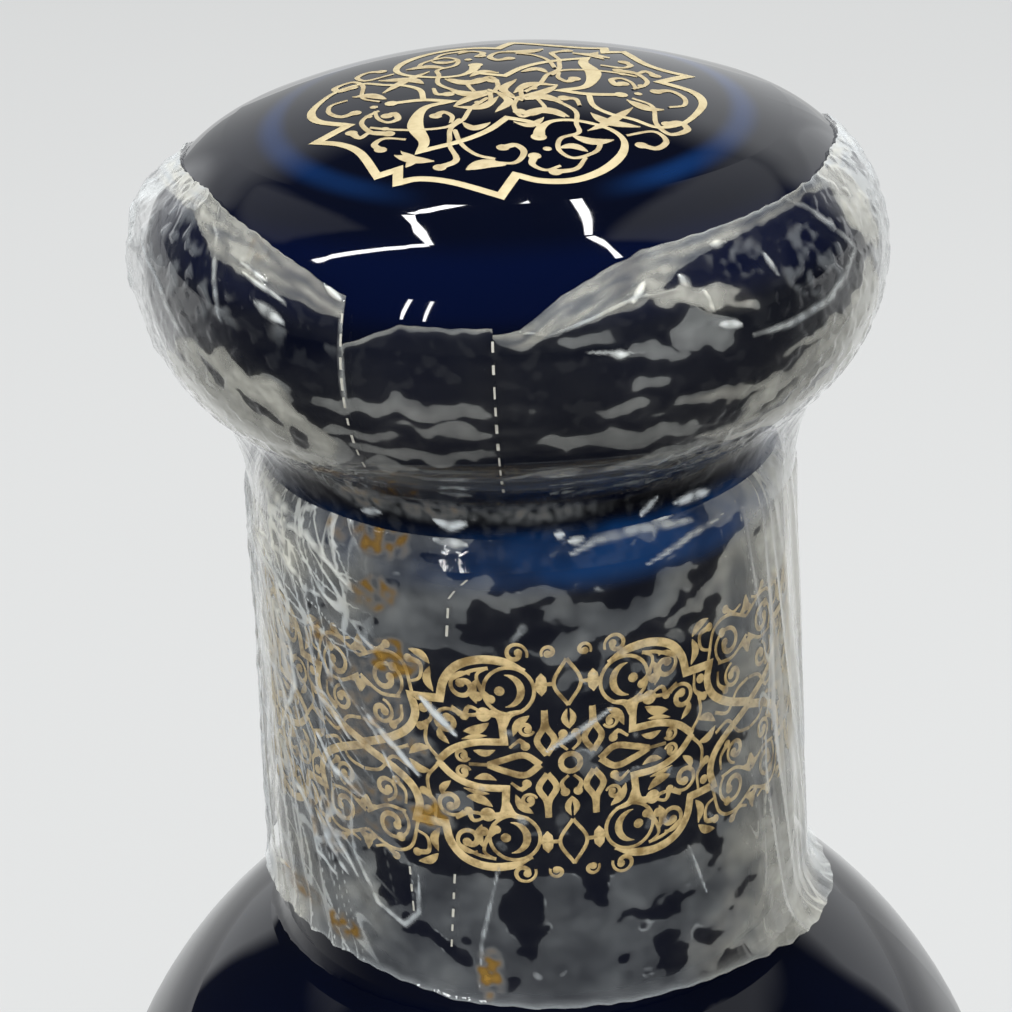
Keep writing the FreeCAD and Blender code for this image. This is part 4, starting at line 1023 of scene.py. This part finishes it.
def neck_relief(side, height, _down):
    """The same for the film on the neck, where places are heights and the distance down isn't needed."""
    girth = NECK_TOP_RADIUS
    around = np.radians(side) * girth
    turned = np.abs(side)
    flank = np.maximum(smoothstep(27, 46, -side), smoothstep(40, 56, side))
    fore = smoothstep(125, 95, turned)
    upper = smoothstep(175.0, 178.0, height)
    lower = smoothstep(159.0, 156.5, height)
    banded = (1 - upper) * (1 - lower)
    swayed = side + 9.0 * perlin(height / 5.0, around / 16.0, 20)
    # Patches that stand off the glass, and dark ones that cling to it
    rough = roughened(side, height, girth, 0.9, 0.4, 60)
    dark = inside_any(*rough, girth, NECK_DARK)
    grey = inside_any(*rough, girth, NECK_GREY)
    clear = 0.62 * upper * smoothstep(-20, -9, swayed) * smoothstep(54, 36, swayed)
    clear = np.maximum(clear, 0.72 * banded * smoothstep(-34, -20, swayed) * smoothstep(50, 32, swayed))
    wave = 0.34 * perlin(around / 2.4, height / 2.4, 12) + 0.2 * perlin(around / 1.0, height / 1.0, 13)
    slant = perlin((0.82 * around + 0.57 * height) / 6.0, (0.82 * height - 0.57 * around) / 2.2, 24)
    level = perlin(around / 4.2 + height / 9.0, height / 3.2, 18)
    drift = 0.85 * (slant * upper + level * (1 - upper)) + 0.35 * perlin(around / 1.6, height / 1.3, 19)
    lift = np.maximum(0.5 - 1.3 * clear, grey)
    lift = np.minimum(lift + drift, -dark + 0.4 * drift) + wave * (1 - 0.4 * flank) + 0.15 * flank
    # Haze: stronger towards both sides and over the band
    haze = (0.085 + 0.035 * upper + 0.01 * lower
            + 0.06 * smoothstep(27, 40, -swayed) + 0.10 * smoothstep(46, 64, -side)
            + 0.12 * smoothstep(22, 46, swayed) + 0.17 * smoothstep(48, 62, side))
    uneven = 1 + 0.5 * perlin(around / 5.0, height / 4.0, 21) + 0.2 * perlin(around / 1.5, height / 1.2, 22)
    haze = haze * np.clip(uneven, 0.4, 1.7) * (1 + 0.6 * banded * smoothstep(62, 48, turned))
    thinner = banded * smoothstep(24, 34, turned) * smoothstep(66, 58, turned)
    haze = haze * (1 - 0.6 * smoothstep(66, 88, turned)) * (1 - 0.38 * thinner)
    # Creases and painted glints: placed streaks, a slanting net at the left, painted highlight on patch rims,
    # drapes at the sides and the hem
    streaks = streak_height(side, height, girth, NECK_STREAKS)
    steep_net = slanted_ridges(around, height, 0.97, 0.26, 16.0, 2.3, 15)
    flat_net = smoothstep(170, 176, height) * slanted_ridges(around, height, 0.43, 0.90, 8.0, 1.9, 17)
    net = np.max([slanted_ridges(around, height, 0.77, 0.64, 14.0, 2.1, 14), steep_net, flat_net], axis=0)
    netted = fore * smoothstep(28, 44, -side) * (0.6 + 0.4 * smoothstep(172, 179, height))
    rim = np.exp(-((lift - 0.10) / 0.07) ** 2) * smoothstep(0.05, 0.5, perlin(around / 2.2, height / 2.2, 23))
    drape = ridges(around / 2.3 + height / 13.0, height / 26.0, 16)
    hem = np.exp(-(height - height.min(axis=0)) / 0.5)
    crease = np.max([streaks, 0.88 * netted * smoothstep(0.84, 0.94, net), 0.36 * fore * rim,
                     0.65 * fore * flank * smoothstep(0.90, 0.99, drape), 0.30 * hem], axis=0)
    # How far the sheet itself stands up
    stand = (0.03 * wave + flank * (0.20 + 0.22 * drape) + 0.28 * netted * net + 0.16 * streaks + 0.30 * hem
             + 0.25 * smoothstep(70, 85, turned))
    return stand, {"lift": lift, "haze": haze, "crease": crease,
                   "stain": stains_of(side, height, girth, NECK_STAINS)}


LEFT_CUT, RIGHT_CUT = HEAD_STRIP
head_sheet("head_film_sheet", "head_film", RIGHT_CUT, 360 + LEFT_CUT, LEFT_EDGE + RIGHT_EDGE)
head_sheet("head_strip_sheet", "head_tear_strip", LEFT_CUT, RIGHT_CUT, STRIP_EDGE)
neck_sheet("neck_film_sheet", "neck_film", NECK_STRIP[1], 360 + NECK_STRIP[0])
neck_sheet("neck_strip_sheet", "neck_tear_strip", *NECK_STRIP)


def head_place(side, along, off):
    """Places on the head from degrees round, millimetres up from the widest line and a distance off."""
    bend = np.where(along > 0, EDGE_RADIUS, UNDER_RADIUS) + FILM_GAP
    return on_round(side, *head_profile(math.pi / 2 - along / bend, FILM_GAP + off))


def neck_place(side, along, off):
    """Places on the neck from degrees round, height and a distance off."""
    return on_round(side, neck_radius(along) + FILM_GAP + off, along)


def perforation(name, body, surface, girth, lines, node_name):
    """Rows of small whitened cuts along lines of degrees and millimetres."""
    cut_pitch, cut_lift = 1.5, 0.32
    spread = np.random.default_rng(SEED + 40)
    points, faces = [], []
    for line in lines:
        turns, heights = np.array(line, float).T
        steps = np.hypot(np.diff(np.radians(turns)) * girth, np.diff(heights))
        lengths = np.concatenate([[0], np.cumsum(steps)])
        for start in np.arange(0.2, lengths[-1] - 1.0, cut_pitch):
            start = start + spread.uniform(-0.1, 0.1)
            size = spread.uniform(0.5, 0.95)
            half = np.degrees(spread.uniform(0.07, 0.11) / girth)
            ends = np.array([start, start + size])
            middle, along = np.interp(ends, lengths, turns), np.interp(ends, lengths, heights)
            side = np.array([middle[0] - half, middle[0] + half, middle[1] + half, middle[1] - half])
            first = 4 * len(points)
            points.append(surface(side, np.repeat(along, 2), cut_lift))
            faces.append((first, first + 3, first + 2, first + 1))
    piece = mesh_piece(name, np.vstack(points), faces, body, PRICKED)
    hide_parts(node_name)


perforation("head_perforation", "stopper", head_place, HEAD_RADIUS,
            [((LEFT_CUT, 4.6), (LEFT_CUT, -9.5)), ((RIGHT_CUT, 3.0), (RIGHT_CUT, -12.0))],
            "head_tear_strip")
perforation("neck_perforation", "bottle", neck_place, NECK_TOP_RADIUS,
            [((-11.0, 183.2), (-15.4, 181.6), (-16.5, 177.0)), ((-16.8, 158.0), (-18.5, 150.0)),
             ((-26.5, 158.0), (-26.0, 153.6))],
            "neck_tear_strip")


# Stage: floor, light and camera, in metres

def make_floor():
    """A wide pale floor that keeps the bottle's soft shadow; reflections and bounced light find a painted
    shade in front of the bottle.
    """
    reach = 4.0
    corners = [(-reach, -reach, 0), (reach, -reach, 0), (reach, reach, 0), (-reach, reach, 0)]
    mesh = bpy.data.meshes.new("floor")
    mesh.from_pydata(corners, [], [(0, 1, 2, 3)])
    floor = bpy.data.objects.new("floor", mesh)
    scene.collection.objects.link(floor)
    material, tree = new_material("pale_floor")
    place = position(tree)
    back = axes_of(place)["Y"]
    rays = node(tree, "ShaderNodeLightPath").outputs
    seen = rays["Is Camera Ray"]
    colour = mixed(noise(place, 3.0, 3.0), FLOOR_GREY, FLOOR_PALE)
    # Painted shade: the floor is dark in front of the bottle for all but camera rays
    painted_front_shade = mixed(ramp(back, -0.08, 0.45), FLOOR_PAINTED_SHADE, colour)
    matt = shader(tree, "ShaderNodeBsdfDiffuse", {"Color": mixed(seen, painted_front_shade, colour)})
    glow_colour = mixed(ramp(length_of(place), 1.2, 3.6), colour, FLOOR_FAR)
    glow = shader(tree, "ShaderNodeEmission", {"Color": glow_colour, "Strength": 1.0})
    share = greatest(product(seen, 0.8), product(rays["Is Glossy Ray"], ramp(back, 0.15, 0.60, 0.0, 0.9)))
    wear(floor, shaded(material, blend(share, matt, glow)))


def make_room():
    """Light from all round: pale walls and side windows, a dark ceiling and a dark camera side."""
    world = bpy.data.worlds.new("pale_room")
    scene.world = world
    world.use_nodes = True
    tree = world.node_tree
    tree.nodes.clear()
    across, back, up = axes_of(node(tree, "ShaderNodeTexCoord").outputs["Generated"])
    beside = math_of("ABSOLUTE", across)
    bright = product(ramp(beside, 0.34, 0.50, 0.0, 1.3), ramp(up, 0.42, 0.22))
    wall = product(ramp(back, 0.46, 0.64), ramp(up, 0.66, 0.46), window(across, -0.72, -0.64, 0.78, 0.86),
                   ramp(across, -0.25, 0.30, 0.50, 0.80), math_of("ADD", bright, 1.0))
    left = product(ramp(across, -0.38, -0.46), ramp(back, 0.10, 0.20, 0.0, 0.36))
    right = product(ramp(across, 0.28, 0.38), ramp(back, -0.20, -0.10, 0.0, 0.55))
    panes = product(greatest(left, right), ramp(up, 0.50, 0.60), ramp(beside, 0.80, 0.72))
    colour = mixed(greatest(wall, panes, 0.035), BLACK, ROOM_LIGHT)
    seen = node(tree, "ShaderNodeLightPath").outputs["Is Camera Ray"]
    light = shader(tree, "ShaderNodeBackground", {"Color": mixed(seen, colour, ROOM_SEEN), "Strength": 1.0})
    tree.links.new(light, tree.nodes.new("ShaderNodeOutputWorld").inputs["Surface"])


def add_lamp(name, place, aim, along, length, width, power, mirrored):
    """A flat lamp at a place, its long side along a direction."""
    lamp = bpy.data.lights.new(name, "AREA")
    lamp.shape = "RECTANGLE"
    lamp.size = length
    lamp.size_y = width
    lamp.energy = power
    holder = bpy.data.objects.new(name, lamp)
    back = (Vector(place) - Vector(aim)).normalized()
    side = Vector(along)
    side = (side - side.dot(back) * back).normalized()
    turn = Matrix((side, back.cross(side), back)).transposed()
    holder.matrix_world = Matrix.Translation(Vector(place)) @ turn.to_4x4()
    holder.visible_glossy = mirrored
    scene.collection.objects.link(holder)


def make_lamps():
    """Thin ceiling strips for the glints, and broad soft lamps for the level of light."""
    crown = Vector((0.0, -0.02, 0.21))
    far = 1.2
    strip_power = 90.0
    # Name, direction of each end from the crown, width
    strips = [
        ("strip_left", (-0.734, -0.115, 0.670), (-0.290, -0.119, 0.950), 0.05),
        ("strip_left_end", (-0.285, -0.125, 0.951), (-0.247, 0.341, 0.907), 0.04),
        ("strip_back", (-0.235, 0.360, 0.903), (0.040, 0.498, 0.866), 0.04),
        ("strip_right", (0.123, 0.483, 0.867), (0.257, -0.078, 0.963), 0.032),
        ("strip_right_end", (0.265, -0.100, 0.959), (0.432, -0.366, 0.824), 0.04),
        ("strip_front_near", (-0.476, -0.675, 0.564), (-0.536, -0.772, 0.342), 0.02),
        ("strip_front_far", (-0.382, -0.731, 0.565), (-0.440, -0.831, 0.341), 0.02),
    ]
    for name, start, end, width in strips:
        start, end = (crown + Vector(way).normalized() * far for way in (start, end))
        length = (end - start).length
        power = strip_power * length * width
        add_lamp(name, (start + end) / 2, crown, end - start, length, width, power, True)
    level = (1, 0, 0)
    add_lamp("soft_overhead", (0.0, 0.15, 1.3), (0, 0, 0.18), level, 1.2, 1.2, 14.0, False)
    add_lamp("soft_low", (-0.22, -0.50, 0.12), (0, 0, 0.20), level, 0.40, 0.10, 1.0, False)
    add_lamp("soft_front", (0.25, -1.1, 0.75), (0, 0, 0.17), level, 0.9, 0.9, 14.0, False)


def make_camera():
    """The photograph's view: close, from a little above, with a slight roll."""
    pitch, roll, yaw = 0.4243, -0.046, -0.0074
    place = (0.0, -0.19324, 0.26645)
    focal_pixels, picture_pixels = 2600.0, 1012.0
    forward = Vector((math.sin(yaw) * math.cos(pitch), math.cos(yaw) * math.cos(pitch), -math.sin(pitch)))
    level = Vector((math.cos(yaw), -math.sin(yaw), 0.0))
    above = level.cross(forward)
    right = math.cos(roll) * level + math.sin(roll) * above
    up = -math.sin(roll) * level + math.cos(roll) * above
    camera = bpy.data.cameras.new("photo_camera")
    camera.sensor_width = 36.0
    camera.lens = camera.sensor_width * focal_pixels / picture_pixels
    camera.clip_start = 0.01
    holder = bpy.data.objects.new("photo_camera", camera)
    turn = Matrix((right, up, -forward)).transposed()
    holder.matrix_world = Matrix.Translation(place) @ turn.to_4x4()
    scene.collection.objects.link(holder)
    scene.camera = holder


make_floor()
make_room()
make_lamps()
make_camera()
scene.view_settings.view_transform = "Standard"
